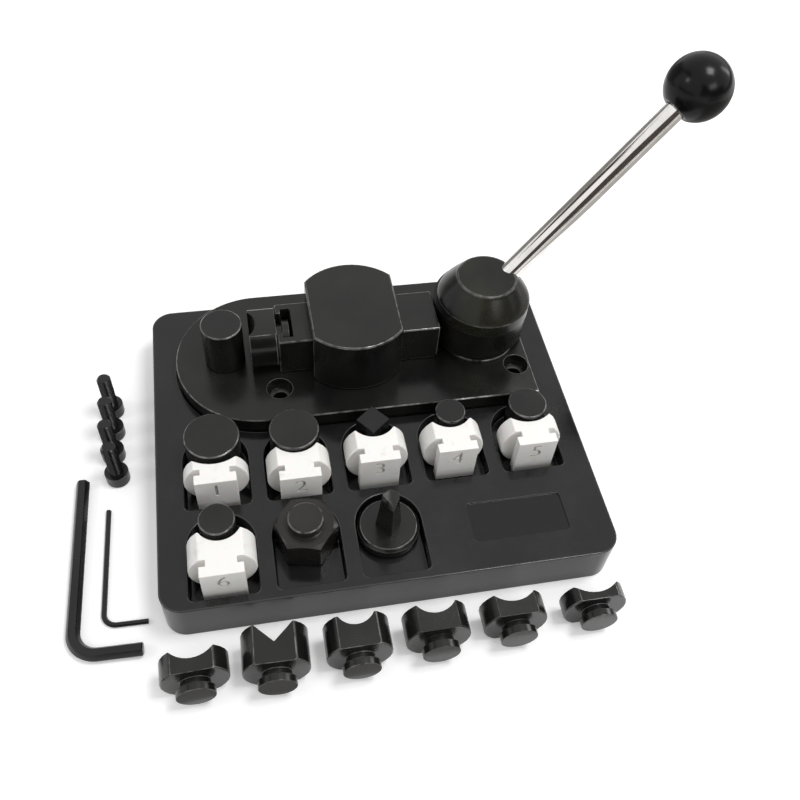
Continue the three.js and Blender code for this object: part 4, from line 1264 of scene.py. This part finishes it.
@dataclass
class RamSlide(Assembly):
    """The guide block, the ram with its T-slot, and the spring under it."""

    block_edge: float = 0.4
    ram_edge: float = 0.32
    spring_wire: float = 0.9
    spring_turns: int = 9
    spring_travel: float = 4.5  # the longer way that the ram goes from rest
    spring_end_lead: float = 0.945  # how far an end turn moves along
    turn_steps: int = 40
    wire_sides: int = 10
    coil_sharp: float = 60.0

    def build(self) -> None:
        """Copies both shapes and rounds their edges, and winds the hidden spring."""
        block = fine_copy("guide_block", "guide_block_body", self.block_edge)
        self.hand_over(block, self.finishes.milled, Slot.BLACK_STEEL, "guide_block")
        ram = fine_copy("ram", "ram_bar", self.ram_edge)
        self.hand_over(ram, self.finishes.milled, Slot.BLACK_STEEL, "ram", Body.RAM)
        self.wind_spring()

    def wind_spring(self) -> None:
        """The return spring at rest, which rides on the ram.

        A station's middle is the coil's radius along the way (0, cos a, sin a) at a turn's angle a,
        and moves along X by the end lead in each end turn and evenly between them. Its ring is the
        wire's radius about that middle, along that way and square to it and to the helix.
        """
        box = NodeBox.of("return_spring")
        length, wire, count = box.size[0], self.spring_wire / 2, self.spring_turns
        reach, lead = length - 2 * wire, self.spring_end_lead
        turns = np.linspace(0, count, self.turn_steps * count + 1)
        along = np.interp(turns, [0, 1, count - 1, count], [0, lead, reach - lead, reach])
        way = np.column_stack([np.zeros_like(turns), around(FULL_TURN * turns)])
        middle = (box.size[1] / 2 - wire) * way + np.array([box.low[0] + wire, *box.middle[1:]])
        middle[:, 0] += along
        tangent = np.gradient(middle, axis=0)
        square = np.cross(tangent / np.linalg.norm(tangent, axis=1, keepdims=True), way)
        turn = full_turn(self.wire_sides)[None, :, None]
        rings = middle[:, None] + wire * (np.cos(turn) * way[:, None] + np.sin(turn) * square[:, None])
        coil = Shell().grid(rings).cap(rings[0]).cap(rings[-1]).build("return_spring_coil", self.coil_sharp)
        self.hand_over(coil, self.finishes.bright, Slot.BRIGHT_STEEL, "return_spring", Body.RAM)
        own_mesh(coil)


@dataclass
class HandleHub(Assembly):
    """The hub with its cam, the chromed rod and the ball knob."""

    radius: float = 20.3
    band_bottom: float = 47.2
    band_top: float = 52.8
    top_radius: float = 13.2
    top: float = 64.0
    top_edge: float = 0.9
    shoulder_share: float = 0.15
    shoulder_soft: float = 0.4
    cone_rows: int = 25
    head_steps: int = 144
    top_crease: float = 0.25
    cam_overlap: float = 0.6  # how far the cam reaches into the head
    cam_edge: float = 0.4
    cam_soft: float = 0.3
    cam_steps: int = 240
    cam_bottom: float = 28.8
    cam_reach: float = 20.8
    cam_lift: float = 3.2
    cam_close: float = 61.0
    cam_open: float = 86.0
    cam_free: float = 158.5
    cam_free_reach: float = 20.3
    cam_free_slope: float = 4.0
    shaft_hole: float = 7.25
    shaft_hole_top: float = 44.0
    rod_radius: float = 4.5
    rod_root: float = 50.5
    rod_azimuth: float = 18.6
    rod_elevation: float = 41.7
    rod_start: float = 5.5
    rod_edge: float = 0.4
    rod_gap: float = 0.25  # between the rod and the ball's bore
    rod_end_gap: float = 0.2
    ball_distance: float = 121.7
    ball_radius: float = 13.85
    ball_steps: int = 72
    collar_radius: float = 6.4
    collar_soft: float = 0.35
    bore_depth: float = 15.0

    def cam_outline(self) -> np.ndarray:
        """The cam's outline from its support distance h and slope s at each angle.

        A point is h along the angle's own way plus s along the way a quarter turn on. The
        distance falls evenly over the lifting face, and two cubics close the free side.

        Returns:
            One row of two numbers for each point, about the pivot.
        """
        first = math.pi - math.radians(self.cam_close)
        low_angle = math.pi + math.radians(self.cam_open)
        free_angle = math.pi + math.radians(self.cam_free)
        low_reach = self.cam_reach - self.cam_lift * math.radians(self.cam_open)
        high_reach = self.cam_reach + self.cam_lift * math.radians(self.cam_close)
        angles = first + full_turn(self.cam_steps)
        stations = [
            (low_angle, low_reach, -self.cam_lift),
            (free_angle, self.cam_free_reach, self.cam_free_slope),
            (first + FULL_TURN, high_reach, -self.cam_lift),
        ]
        reach = self.cam_reach - self.cam_lift * (angles - math.pi)
        slope = np.full_like(angles, -self.cam_lift)
        for (a0, h0, s0), (a1, h1, s1) in zip(stations, stations[1:]):
            span = a1 - a0
            t = (angles - a0) / span
            rise = h0 + (h1 - h0) * (3 * t**2 - 2 * t**3)
            rise = rise + span * s0 * (t**3 - 2 * t**2 + t) + span * s1 * (t**3 - t**2)
            fall = (h1 - h0) * (6 * t - 6 * t**2) / span + s0 * (3 * t**2 - 4 * t + 1) + s1 * (3 * t**2 - 2 * t)
            here = angles > a0
            reach, slope = np.where(here, rise, reach), np.where(here, fall, slope)
        x = reach * np.cos(angles) - slope * np.sin(angles)
        y = reach * np.sin(angles) + slope * np.cos(angles)
        return np.stack([x, y], axis=1)

    def rod_place(self, centre: np.ndarray) -> Matrix:
        """The matrix that lays a shape made along Z along the rod.

        Args:
            centre: the pivot's place in plan.

        Returns:
            The matrix, in millimetres.
        """
        root = Matrix.Translation((centre[0], centre[1], self.rod_root))
        turn = Matrix.Rotation(math.radians(self.rod_azimuth), 4, "Z")
        lift = Matrix.Rotation(math.radians(90 - self.rod_elevation), 4, "Y")
        return root @ turn @ lift

    def build(self) -> None:
        """Builds hub, rod and ball, and dresses the pivot's hidden pieces."""
        centre = NodeBox.of("thrust_washer").centre
        self.build_hub(centre)
        place = self.rod_place(centre)
        collar = math.sqrt(self.ball_radius**2 - self.collar_radius**2)
        end = self.ball_distance - collar + self.bore_depth - self.rod_end_gap
        start, radius = self.rod_start, self.rod_radius
        profile = eased([(0, start), (radius, start), (radius, end), (0, end)], self.rod_edge)
        rod = Shell().turned(profile).moved(place).build("rod_bar")
        self.hand_over(rod, self.finishes.chrome, Slot.CHROME, "handle_rod", Body.HANDLE)
        self.build_ball(place, collar)
        self.dress(self.finishes.bright, "pivot_shaft", "retaining_washer")
        self.dress(self.finishes.screw, "retaining_screw", "rod_set_screw")

    def build_hub(self, centre: np.ndarray) -> None:
        """The cam below and the head above, the head's cone bulging slightly at its shoulder.

        Args:
            centre: the pivot's place in plan.
        """
        share = np.linspace(0, 1, self.cone_rows)[:, None]
        low, top, rim, crease = self.band_bottom, self.top, self.top_edge, self.top_crease
        start, end = np.array([self.radius, self.band_top]), np.array([self.top_radius, top - rim])
        handle = start + (0, self.shoulder_share * (top - rim - self.band_top))
        cone = (1 - share) ** 2 * start + 2 * share * (1 - share) * handle + share**2 * end
        soft = self.shoulder_soft
        shoulder = eased([(0, low), (self.radius, low), start], soft, 3)
        peak = [end, (self.top_radius - crease, top - crease), (self.top_radius - rim, top), (0, top)]
        head = np.concatenate([shoulder[:-1], cone, eased(peak, soft, 3)[1:]])
        shell = Shell().turned(head, centre, self.head_steps)
        cam, foot, roof = self.cam_outline() + centre, self.cam_bottom, low + self.cam_overlap
        shell.walls(cam, eased([(-self.cam_edge, foot), (0, foot), (0, roof)], self.cam_soft, 3))
        bore, deep = self.shaft_hole, self.shaft_hole_top
        shell.sheet([cam - self.cam_edge * outward(cam), circle(centre, bore)], foot)
        shell.turned([(bore, foot), (bore, deep), (0, deep)], centre, BORE_STEPS)
        shell.cap(raised(cam, roof))
        self.hand_over(shell.build("hub_head"), self.finishes.hub, Slot.BLACK_STEEL, "hub", Body.HANDLE)

    def build_ball(self, place: Matrix, collar: float) -> None:
        """The ball: an arc from the collar's rim to the far pole, and the bore for the rod.

        Args:
            place: the matrix that lays it along the rod.
            collar: how far its flat face is from its middle.
        """
        start = -math.degrees(math.asin(collar / self.ball_radius))
        ball = arc((0, self.ball_distance), self.ball_radius, start, 90, self.ball_steps)
        ball[-1, 0] = 0
        bore, face = self.rod_radius + self.rod_gap, self.ball_distance - collar
        deep = face + self.bore_depth
        corners = [(0, deep), (bore, deep), (bore, face), (self.collar_radius, face), ball[1]]
        rim = eased(corners, self.collar_soft, 3)
        knob = Shell().turned(np.concatenate([rim[:-1], ball[1:]])).moved(place).build("knob_ball")
        self.hand_over(knob, self.finishes.resin, Slot.BLACK_RESIN, "ball_knob", Body.HANDLE)


@dataclass
class MaleDies(Assembly):
    """The round, square, hexagonal and bladed dies that wire is bent round."""

    chamfer: float = 0.45
    chamfer_soft: float = 0.12
    bore: float = 2.75
    bore_depth: float = 8.0
    square_turn: float = 39.4
    square_side: float = 9.9
    square_corner: float = 0.4
    hex_across: float = 22.0
    hex_height: float = 14.0
    hex_round: float = 1.2  # the turned cone's height
    hex_touch: float = 0.15  # how far the cone reaches inside the flats' middles
    hex_turn: float = -10.4
    hex_steps: int = 240
    hex_sharp: float = 12.0
    post_soft: float = 0.15
    post_radius: float = 7.0
    blade_base: float = 12.55
    blade_base_height: float = 5.5
    blade_base_round: float = 1.2
    blade_base_soft: float = 0.3
    blade_bore_depth: float = 4.8
    blade_sunk: float = 0.5  # how far the blade reaches into its base
    blade_foot: Triple = (5.9, 5.4, 5.0)
    blade_top: Triple = (5.6, 3.3, 2.8)
    blade_corner_y: float = 0.6
    blade_soft: float = 0.35
    blade_rows: int = 12
    blade_polish: float = 1.0  # how bright the painted highlight on its top is
    blade_polish_from: float = 0.9  # where that painted highlight starts, in shares of its height
    blade_sharp: float = 28.0

    def round_die(self, node: str, body: Body = Body.BENCH) -> None:
        """One round die: a bored, chamfered cylinder.

        Args:
            node: its CAD node.
            body: the body that it rides on.
        """
        box, edge, bore = NodeBox.of(node), self.chamfer, self.bore
        radius, (low, high) = box.size[0] / 2, box.heights
        deep = low + self.bore_depth
        foot = [(0, deep), (bore, deep), (bore, low)]
        side = [(radius - edge, low), (radius, low + edge), (radius, high - edge), (radius - edge, high)]
        profile = eased([*foot, *side, (0, high)], self.chamfer_soft, 2)
        die = Shell().turned(profile, box.centre).build(f"{node}_post")
        self.hand_over(die, self.finishes.turned, Slot.BLACK_STEEL, node, body)

    def square_die(self) -> None:
        """The square die, turned in its pocket, over its bore."""
        box, bore = NodeBox.of("male_die_3"), self.bore
        low, high = box.heights
        turn = math.radians(self.square_turn)
        spin = np.array([[math.cos(turn), math.sin(turn)], [-math.sin(turn), math.cos(turn)]])
        side, deep = self.square_side, low + self.bore_depth
        loop = rounded_rectangle((side, side), self.square_corner, 4) @ spin + box.centre
        shell = Shell().walls(loop, chamfered(low, high, self.chamfer))
        rim = loop - self.chamfer * outward(loop)
        shell.cap(raised(rim, high)).sheet([rim, circle(box.centre, bore, SMALL_BORE_STEPS)], low)
        shell.turned([(bore, low), (bore, deep), (0, deep)], box.centre, SMALL_BORE_STEPS)
        self.hand_over(shell.build("male_die_3_post"), self.finishes.milled, Slot.BLACK_STEEL, "male_die_3")

    def hex_die(self) -> None:
        """The hexagonal die with its turned corners and its post.

        At each angle the hexagon's radius is half its size across flats over the cosine of the
        angle to the nearest flat's middle. The turned cone meets it at the height where the
        cone's radius is the same, which draws the curved line over each flat.
        """
        box, edge, post, bore = NodeBox.of("hex_die"), self.chamfer, self.post_radius, self.bore
        low, high = box.heights
        shoulder, deep = low + self.hex_height, low + self.bore_depth
        angles = full_turn(self.hex_steps)
        sixth = math.pi / 3
        off = (angles - math.radians(self.hex_turn) - math.pi / 2 + sixth / 2) % sixth - sixth / 2
        hexagon = self.hex_across / 2 / np.cos(off)[:, None]
        corner, inner = self.hex_across / math.sqrt(3), self.hex_across / 2 - self.hex_touch
        meet = (hexagon - inner) / (corner - inner) * self.hex_round
        rows = [(inner, low), (hexagon, low + meet), (hexagon, shoulder - meet), (inner, shoulder)]
        points = [raised(box.centre + radius * around(angles), height) for radius, height in rows]
        lay = [0.0, 2.0, self.hex_height - 2.0, self.hex_height]
        shell = Shell().grid(np.stack(points), np.array([lay, np.zeros(4)]))
        neck = [(inner, shoulder), (post, shoulder), (post, high - edge), (post - edge, high), (0, high)]
        shell.turned(eased(neck, self.post_soft, 2), box.centre, self.hex_steps)
        shell.turned([(inner, low), (bore, low), (bore, deep), (0, deep)], box.centre, self.hex_steps)
        die = shell.build("hex_die_body", self.hex_sharp)
        self.hand_over(die, self.finishes.browned, Slot.BLACK_STEEL, "hex_die")

    def blade_die(self) -> None:
        """The V-blade on its round base: a four-cornered blade that narrows upwards."""
        box, bore, soft = NodeBox.of("v_blade_die"), self.bore, self.blade_base_round
        low, high = box.heights
        deep, radius, deck = low + self.blade_bore_depth, self.blade_base, low + self.blade_base_height
        foot = [(0, deep), (bore, deep), (bore, low), (radius - soft, low), (radius, low + soft)]
        corners = [*foot, (radius, deck - soft), (radius - soft, deck), (0, deck)]
        shell = Shell().turned(eased(corners, self.blade_base_soft, 3), box.centre)
        share = np.linspace(0, 1, self.blade_rows)[:, None, None]
        ends = [self.blade_outline(*sizes) + box.centre for sizes in (self.blade_foot, self.blade_top)]
        flat = (1 - share) * ends[0] + share * ends[1]
        start = deck - self.blade_sunk
        heights = start + share * (high - start)
        points = raised(flat, heights)
        # The blade's upper rows take the edge mark: a painted highlight on its top.
        top_highlight = np.where(share.ravel() > self.blade_polish_from, self.blade_polish, 0)
        shell.grid(points, np.stack([(heights - start).ravel(), top_highlight])).cap(points[0]).cap(points[-1])
        die = shell.build("v_blade_body", self.blade_sharp)
        self.hand_over(die, self.finishes.turned, Slot.BLACK_STEEL, "v_blade_die")

    def blade_outline(self, tip: float, half: float, back: float) -> np.ndarray:
        """The blade's four corners, slightly rounded, anticlockwise from the tip.

        Args:
            tip: how far its tip is from its middle.
            half: half its width.
            back: how far its back is from its middle.

        Returns:
            One row of two numbers for each point.
        """
        corners = [(0, -tip), (half, self.blade_corner_y), (0, back), (-half, self.blade_corner_y)]
        middle = np.mean([corners[-1], corners[0]], axis=0)
        return eased([middle, *corners, middle], self.blade_soft, 3)[1:]

    def build(self) -> None:
        """Builds every male die."""
        self.round_die("fitted_male_die", Body.MALE_DIE)
        for number in (1, 2, 4, 5, 6):
            self.round_die(f"male_die_{number}")
        self.square_die()
        self.hex_die()
        self.blade_die()


@dataclass
class FemaleDies(Assembly):
    """The hollow dies: steel ones with a round button and nylon ones with a flat T-head."""

    edge: float = 0.28
    nylon_edge: float = 0.25
    number_size: float = 11.0
    number_depth: float = 0.8
    number_height: float = 13.6  # the number's middle over the die's foot

    def build(self) -> None:
        """Builds every female die from its node's shape, and numbers the nylon ones."""
        for node in ("fitted_female_die", *(f"steel_die_{number}" for number in range(1, 7))):
            body = Body.FEMALE_DIE if node == "fitted_female_die" else Body.BENCH
            die = fine_copy(node, f"{node}_body", self.edge)
            self.hand_over(die, self.finishes.milled, Slot.BLACK_STEEL, node, body)
        for number in range(1, 7):
            node = f"nylon_die_{number}"
            die = fine_copy(node, f"{node}_body", self.nylon_edge)
            self.engrave(die, NodeBox.of(node), str(number))
            self.hand_over(die, self.finishes.nylon, Slot.NYLON, node)

    def engrave(self, die: Piece, box: NodeBox, number: str) -> None:
        """Cuts a plain number into the front of a die's T-head, and marks the cut for the painted shade in it.

        Args:
            die: the nylon die.
            box: its node's box.
            number: the number to cut.
        """
        size, depth = self.number_size, self.number_depth
        curve = bpy.data.curves.new(f"number_{number}", "FONT")
        curve.body, curve.size, curve.extrude = number, size * MM, depth * MM
        curve.align_x, curve.align_y, curve.resolution_u = "CENTER", "CENTER", 6
        text = bpy.data.objects.new(curve.name, curve)
        bpy.context.scene.collection.objects.link(text)
        mesh = bpy.data.meshes.new_from_object(text.evaluated_get(bpy.context.evaluated_depsgraph_get()))
        bpy.data.objects.remove(text)
        place = Vector((box.middle[0], box.low[1], box.low[2] + self.number_height)) * MM
        mesh.transform(Matrix.Translation(place) @ Matrix.Rotation(math.pi / 2, 4, "X"))
        carve(die, finished(mesh, f"{die.name}_number", SHARP_ANGLE), SHARP_ANGLE)
        off = np.abs((readings(die.data.vertices, "co", 3) - np.array(place)) / MM - (0, depth, 0))
        cut = np.all(off < (size / 2, depth / 4, size / 2), axis=1)
        # The grime attribute marks the cut number's points for the painted shade in it.
        mark = die.data.attributes.new("grime", "FLOAT", "POINT")
        mark.data.foreach_set("value", cut.astype(np.float32))


@dataclass(frozen=True)
class HexKey:
    """A hex key's sizes, the place of its outer corner and its turn."""

    node: str
    across: float
    bend: float
    long: float
    short: float
    corner: Pair
    turn: float = -1.4
    soft: float = 0.12  # a section corner's rounding, as a share of the size across
    tip: float = 0.86  # the end faces' share of the section
    inset: float = 0.08  # their chamfer's length, as a share of the size across
    bend_steps: int = 18
    arm_rows: int = 8
    tail_rows: int = 4
    sharp: float = 24.0


@dataclass
class LooseTools(Assembly):
    """The hex keys and the spare screws that lie beside the tray."""

    keys: tuple[HexKey, ...] = (
        HexKey("hex_key_large", 5.0, 7.0, 80.0, 28.6, (-126.7, -81.8)),
        HexKey("hex_key_small", 2.0, 4.0, 52.5, 17.9, (-114.1, -69.0)),
    )
    pitch: float = 1.0
    thread_depth: float = 0.45
    thread_start: float = 0.3  # over the shoulder
    thread_fade: float = 0.8
    pitch_rows: int = 8
    screw_radius: float = 3.0
    tip_radius: float = 2.35
    tip_height: float = 0.5
    head_radius: float = 5.0
    head_height: float = 6.0
    head_chamfer: float = 0.5
    head_soft: float = 0.2
    socket: float = 5.0
    socket_depth: float = 3.0
    socket_chamfer: float = 0.25
    socket_cone: float = 0.9
    socket_point: float = 0.02  # the cone's end, as a share of the socket
    turn_steps: int = 48
    screw_sharp: float = 40.0

    def hex_key(self, key: HexKey) -> None:
        """One key: a hexagon with soft corners carried along an arm, a bend and an arm.

        Each station's ring is its middle plus the section's first number along the sideways
        direction and its second along Z.

        Args:
            key: the key's sizes and place.
        """
        half = key.across / 2
        radius = key.bend + half
        middle, rows, tail_rows = half + radius, key.arm_rows, key.tail_rows
        ways = around(np.linspace(0, math.pi / 2, key.bend_steps + 1))
        arm = np.column_stack([np.full(rows, half), np.linspace(key.long, middle, rows, endpoint=False)])
        tail = raised(np.linspace(middle, key.short, tail_rows + 1)[1:, None], half)
        flat = np.concatenate([arm, middle - radius * ways, tail])
        side = np.concatenate([np.tile((1.0, 0.0), (rows, 1)), ways, np.tile((0.0, 1.0), (tail_rows, 1))])
        hexagon = arc((0, 0), key.across / math.sqrt(3), 0, 300, 5)
        start = np.mean([hexagon[-1], hexagon[0]], axis=0)
        section = eased([start, *hexagon, start], key.soft * key.across, 2)[1:]
        level = flat[:, None] + side[:, None] * section[None, :, :1]
        rings = raised(level, half + section[None, :, 1:])
        shell = Shell()
        for ring, way in ((rings[0], (0, 1, 0)), (rings[-1], (1, 0, 0))):
            centre = ring.mean(axis=0)
            tip = centre + (ring - centre) * key.tip
            ring -= np.array(way) * key.inset * key.across
            shell.grid(np.stack([ring, tip])).cap(tip)
        place = Matrix.Translation((*key.corner, 0)) @ Matrix.Rotation(math.radians(key.turn), 4, "Z")
        bar = shell.grid(rings).moved(place).build(f"{key.node}_bar", key.sharp)
        self.hand_over(bar, self.finishes.key, Slot.SCREW_STEEL, key.node)

    def screw(self, node: str) -> None:
        """One cap screw on its head.

        The thread's radius is the crest's less the thread depth times a triangle wave of the
        height over the pitch less the turn, and fades out near the head.

        Args:
            node: the screw's CAD node.
        """
        box, steps = NodeBox.of(node), self.turn_steps
        centre, (low, high) = box.centre, box.heights
        shoulder, corner, chamfer = low + self.head_height, self.socket / math.sqrt(3), self.head_chamfer
        hexagon = circle((0, 0), corner, 6)
        sides = zip(hexagon, np.roll(hexagon, -1, axis=0))
        socket = np.concatenate([np.linspace(a, b, steps // 6, endpoint=False) for a, b in sides])
        mouth, floor = corner + self.socket_chamfer, low + self.socket_depth
        rows = [
            (circle((0, 0), mouth, steps), low),
            (socket, low + self.socket_chamfer),
            (socket, floor),
            (socket * self.socket_point, floor + self.socket_cone),
        ]
        points = np.stack([raised(loop + centre, height) for loop, height in rows])
        shell = Shell().grid(points).cap(points[-1])
        wide, narrow = self.head_radius, self.screw_radius
        head = [(mouth, low), (wide - chamfer, low), (wide, low + chamfer), (wide, shoulder)]
        shell.turned(eased([*head, (narrow, shoulder)], self.head_soft, 3), centre, steps)
        angles = full_turn(steps)
        count = self.pitch_rows * int(round((high - shoulder) / self.pitch))
        heights = np.linspace(shoulder, high - self.tip_height, count)[:, None]
        wave = (heights / self.pitch - angles[None] / FULL_TURN) % 1
        fade = np.clip((heights - shoulder - self.thread_start) / self.thread_fade, 0, 1)
        radius = narrow - self.thread_depth * np.abs(2 * wave - 1) * fade
        thread = raised(centre + radius[:, :, None] * around(angles)[None], heights[:, :, None])
        tip = raised(circle(centre, self.tip_radius, steps), high)
        shell.grid(np.concatenate([thread, tip[None]])).cap(tip)
        screw = shell.build(f"{node}_body", self.screw_sharp)
        self.hand_over(screw, self.finishes.screw, Slot.SCREW_STEEL, node)

    def build(self) -> None:
        """Builds the keys and screws."""
        for key in self.keys:
            self.hex_key(key)
        for number in range(1, 5):
            self.screw(f"bench_screw_{number}")


@dataclass(frozen=True)
class Panel:
    """A curved panel of a studio screen: its angles in degrees and its heights in metres."""

    first: float
    last: float
    foot: float
    top: float
    last_top: float
    last_foot: float = 0.0  # the foot's own height where this is zero
    steps: int = 16


@dataclass(frozen=True)
class Screen:
    """A studio screen: its curved panels, its floor mats and the two colours of its cloth."""

    name: str
    panels: tuple[Panel, ...]
    mats: tuple[Mat, ...]  # the left, front, right and back of each, in metres
    first: Colour
    second: Colour


@dataclass
class Studio:
    """The floor, the soft lights and the camera at the photograph's angle."""

    camera_place: Triple = (-46.83, -223.43, 326.36)  # mm
    azimuth: float = 14.995  # degrees from Y towards X
    elevation: float = 51.678
    roll: float = -5.71
    lens: float = 39.753
    sensor: float = 36.0
    floor_size: float = 6.0
    floor_colour: Colour = (0.93, 0.93, 0.93)
    floor_shade: float = 0.99  # how much of its light a faint cloud leaves
    floor_lift: Pair = (0.25, 0.58)  # how far the floor is lifted to white, near and far
    floor_far: Pair = (0.3, 1.3)  # metres from the middle
    sky_strength: float = 0.53
    screen_distance: float = 2.3
    mat_height: float = 0.001
    screens: tuple[Screen, ...] = (
        Screen(
            "dark_screen",
            (
                Panel(-108, -72, 0.32, 2.3, 1.5),
                Panel(-72, -25, 0.1, 1.2, 1.0),
                Panel(143, 181, 1.8, 2.45, 3.3, 2.35),
                Panel(-25, 60, 0.02, 0.4, 0.4),
            ),
            ((0.3, -1.3, 1.2, -0.5),),
            (0.11, 0.09, 0.08),
            (0.15, 0.13, 0.115),
        ),
        Screen(
            "grey_screen",
            (Panel(95, 142, 0.0, 0.7, 1.9), Panel(171, 235, 0.0, 0.4, 0.4)),
            ((-1.6, 0.4, 0.6, 2.3), (0.17, -0.3, 0.5, 0.3), (-0.16, -0.4, 0.165, -0.1066)),
            (0.38, 0.37, 0.35),
            (0.46, 0.45, 0.43),
        ),
    )
    lamps: tuple[tuple[str, Triple, Pair, float], ...] = (
        ("top_light", (0.36, -0.07, 1.05), (0.34, 0.3), 5.0),
        ("left_light", (-0.82, -0.04, 0.74), (0.16, 0.16), 0.9),
        ("front_light", (0.5, -0.86, 0.76), (0.5, 0.28), 2.1),
        ("right_light", (0.9, 0.25, 0.5), (0.12, 0.4), 0.9),
    )

    def build(self) -> None:
        """Sets up everything that isn't part of the object."""
        scene = bpy.context.scene
        scene.view_settings.view_transform = "Standard"
        self.build_floor()
        for screen in self.screens:
            self.build_screen(screen)
        self.build_sky(scene)
        for name, place, size, power in self.lamps:
            self.lamp(name, place, size, power)
        self.build_camera(scene)

    def build_floor(self) -> None:
        """A plain pale floor that keeps the object's shadow."""
        half = self.floor_size / 2
        corners = [(-half, -half, 0), (half, -half, 0), (half, half, 0), (-half, half, 0)]
        mesh = bpy.data.meshes.new("floor")
        mesh.from_pydata(corners, [], [(0, 1, 2, 3)])
        floor = bpy.data.objects.new("floor", mesh)
        bpy.context.scene.collection.objects.link(floor)
        recipe = Recipe("pale_floor")
        cloud = recipe.noise(3, 2).spread(0.2, 0.8)
        distance = recipe.node("ShaderNodeVectorMath", {"operation": "LENGTH"}, {0: recipe.place()}, "Value")
        lift = recipe.seen_directly() * distance.spread(*self.floor_far, *self.floor_lift)
        shaded = tuple(self.floor_shade * c for c in self.floor_colour)
        material = recipe.finish(
            Base_Color=recipe.blend(cloud, self.floor_colour, shaded),
            Roughness=0.9,
            Specular_IOR_Level=0.0,
            Emission_Color=recipe.blend(lift, (0.0, 0.0, 0.0), (1.0, 1.0, 1.0)),
            Emission_Strength=1.0,
        )
        mesh.materials.append(material)

    def build_screen(self, screen: Screen) -> None:
        """A dark or grey screen, which only gloss and chrome show.

        Each column of a panel stands on a circle; its foot and its top run evenly from the heights
        at the panel's first angle to those at its last.

        Args:
            screen: its panels, mats and colours.
        """
        shell = Shell()
        for panel in screen.panels:
            ring = arc((0, 0), self.screen_distance, panel.first, panel.last, panel.steps)
            feet = np.linspace(panel.foot, panel.last_foot or panel.foot, len(ring))
            tops = np.linspace(panel.top, panel.last_top, len(ring))
            shell.strip(np.stack([raised(ring, feet[:, None]), raised(ring, tops[:, None])]) / MM)
        for left, front, right, back in screen.mats:
            corners = np.array([(left, front), (right, front), (right, back), (left, back)])
            shell.cap(raised(corners, self.mat_height) / MM)
        cloth = shell.build(screen.name)
        recipe = Recipe(screen.name)
        colour = recipe.blend(recipe.noise(4, 2), screen.first, screen.second)
        cloth.data.materials.append(recipe.finish(Base_Color=colour, Roughness=1.0, Specular_IOR_Level=0.0))
        cloth.visible_camera = cloth.visible_diffuse = cloth.visible_shadow = False

    def build_sky(self, scene: bpy.types.Scene) -> None:
        """An even pale sky, which the camera and mirrors see as white.

        Args:
            scene: the scene.
        """
        recipe = Recipe("studio_sky", "worlds")
        strength = recipe.seen_directly().spread(0.0, 1.0, self.sky_strength, 1.0)
        scene.world = recipe.finish(Color=(1.0, 1.0, 1.0), Strength=strength)

    def lamp(self, name: str, place: Triple, size: Pair, power: float) -> None:
        """A soft rectangular lamp that faces the tray.

        Args:
            name: its name.
            place: where it stands, in metres.
            size: its width and height, in metres.
            power: its power, in watts.
        """
        light = bpy.data.lights.new(name, "AREA")
        light.shape = "RECTANGLE"
        light.size, light.size_y = size
        light.energy = power
        lamp = bpy.data.objects.new(name, light)
        lamp.location = place
        lamp.rotation_euler = (Vector((0, 0, 0)) - Vector(place)).to_track_quat("-Z", "Y").to_euler()
        bpy.context.scene.collection.objects.link(lamp)

    def build_camera(self, scene: bpy.types.Scene) -> None:
        """The camera, turned so that its way forward has the photograph's angles.

        Args:
            scene: the scene.
        """
        azimuth, elevation, roll = (math.radians(a) for a in (self.azimuth, self.elevation, self.roll))
        level = math.cos(elevation)
        forward = Vector((math.sin(azimuth) * level, math.cos(azimuth) * level, -math.sin(elevation)))
        side = forward.cross(Vector((0, 0, 1))).normalized()
        above = side.cross(forward)
        up = above * math.cos(roll) + side * math.sin(roll)
        right = forward.cross(up)
        data = bpy.data.cameras.new("camera")
        data.lens = self.lens
        data.sensor_width = self.sensor
        camera = bpy.data.objects.new("camera", data)
        turn = Matrix((right, up, -forward)).transposed().to_4x4()
        camera.matrix_world = Matrix.Translation(Vector(self.camera_place) * MM) @ turn
        scene.collection.objects.link(camera)
        scene.camera = camera


def main() -> None:
    """Builds the studio and every sub-assembly."""
    logging.basicConfig(level=logging.INFO, format="%(name)s: %(message)s")
    Studio().build()
    finishes = Finishes()
    for assembly in (DieTray, BasePlate, RamSlide, HandleHub, MaleDies, FemaleDies, LooseTools):
        assembly(finishes).build()


if __name__ == "__main__":
    main()
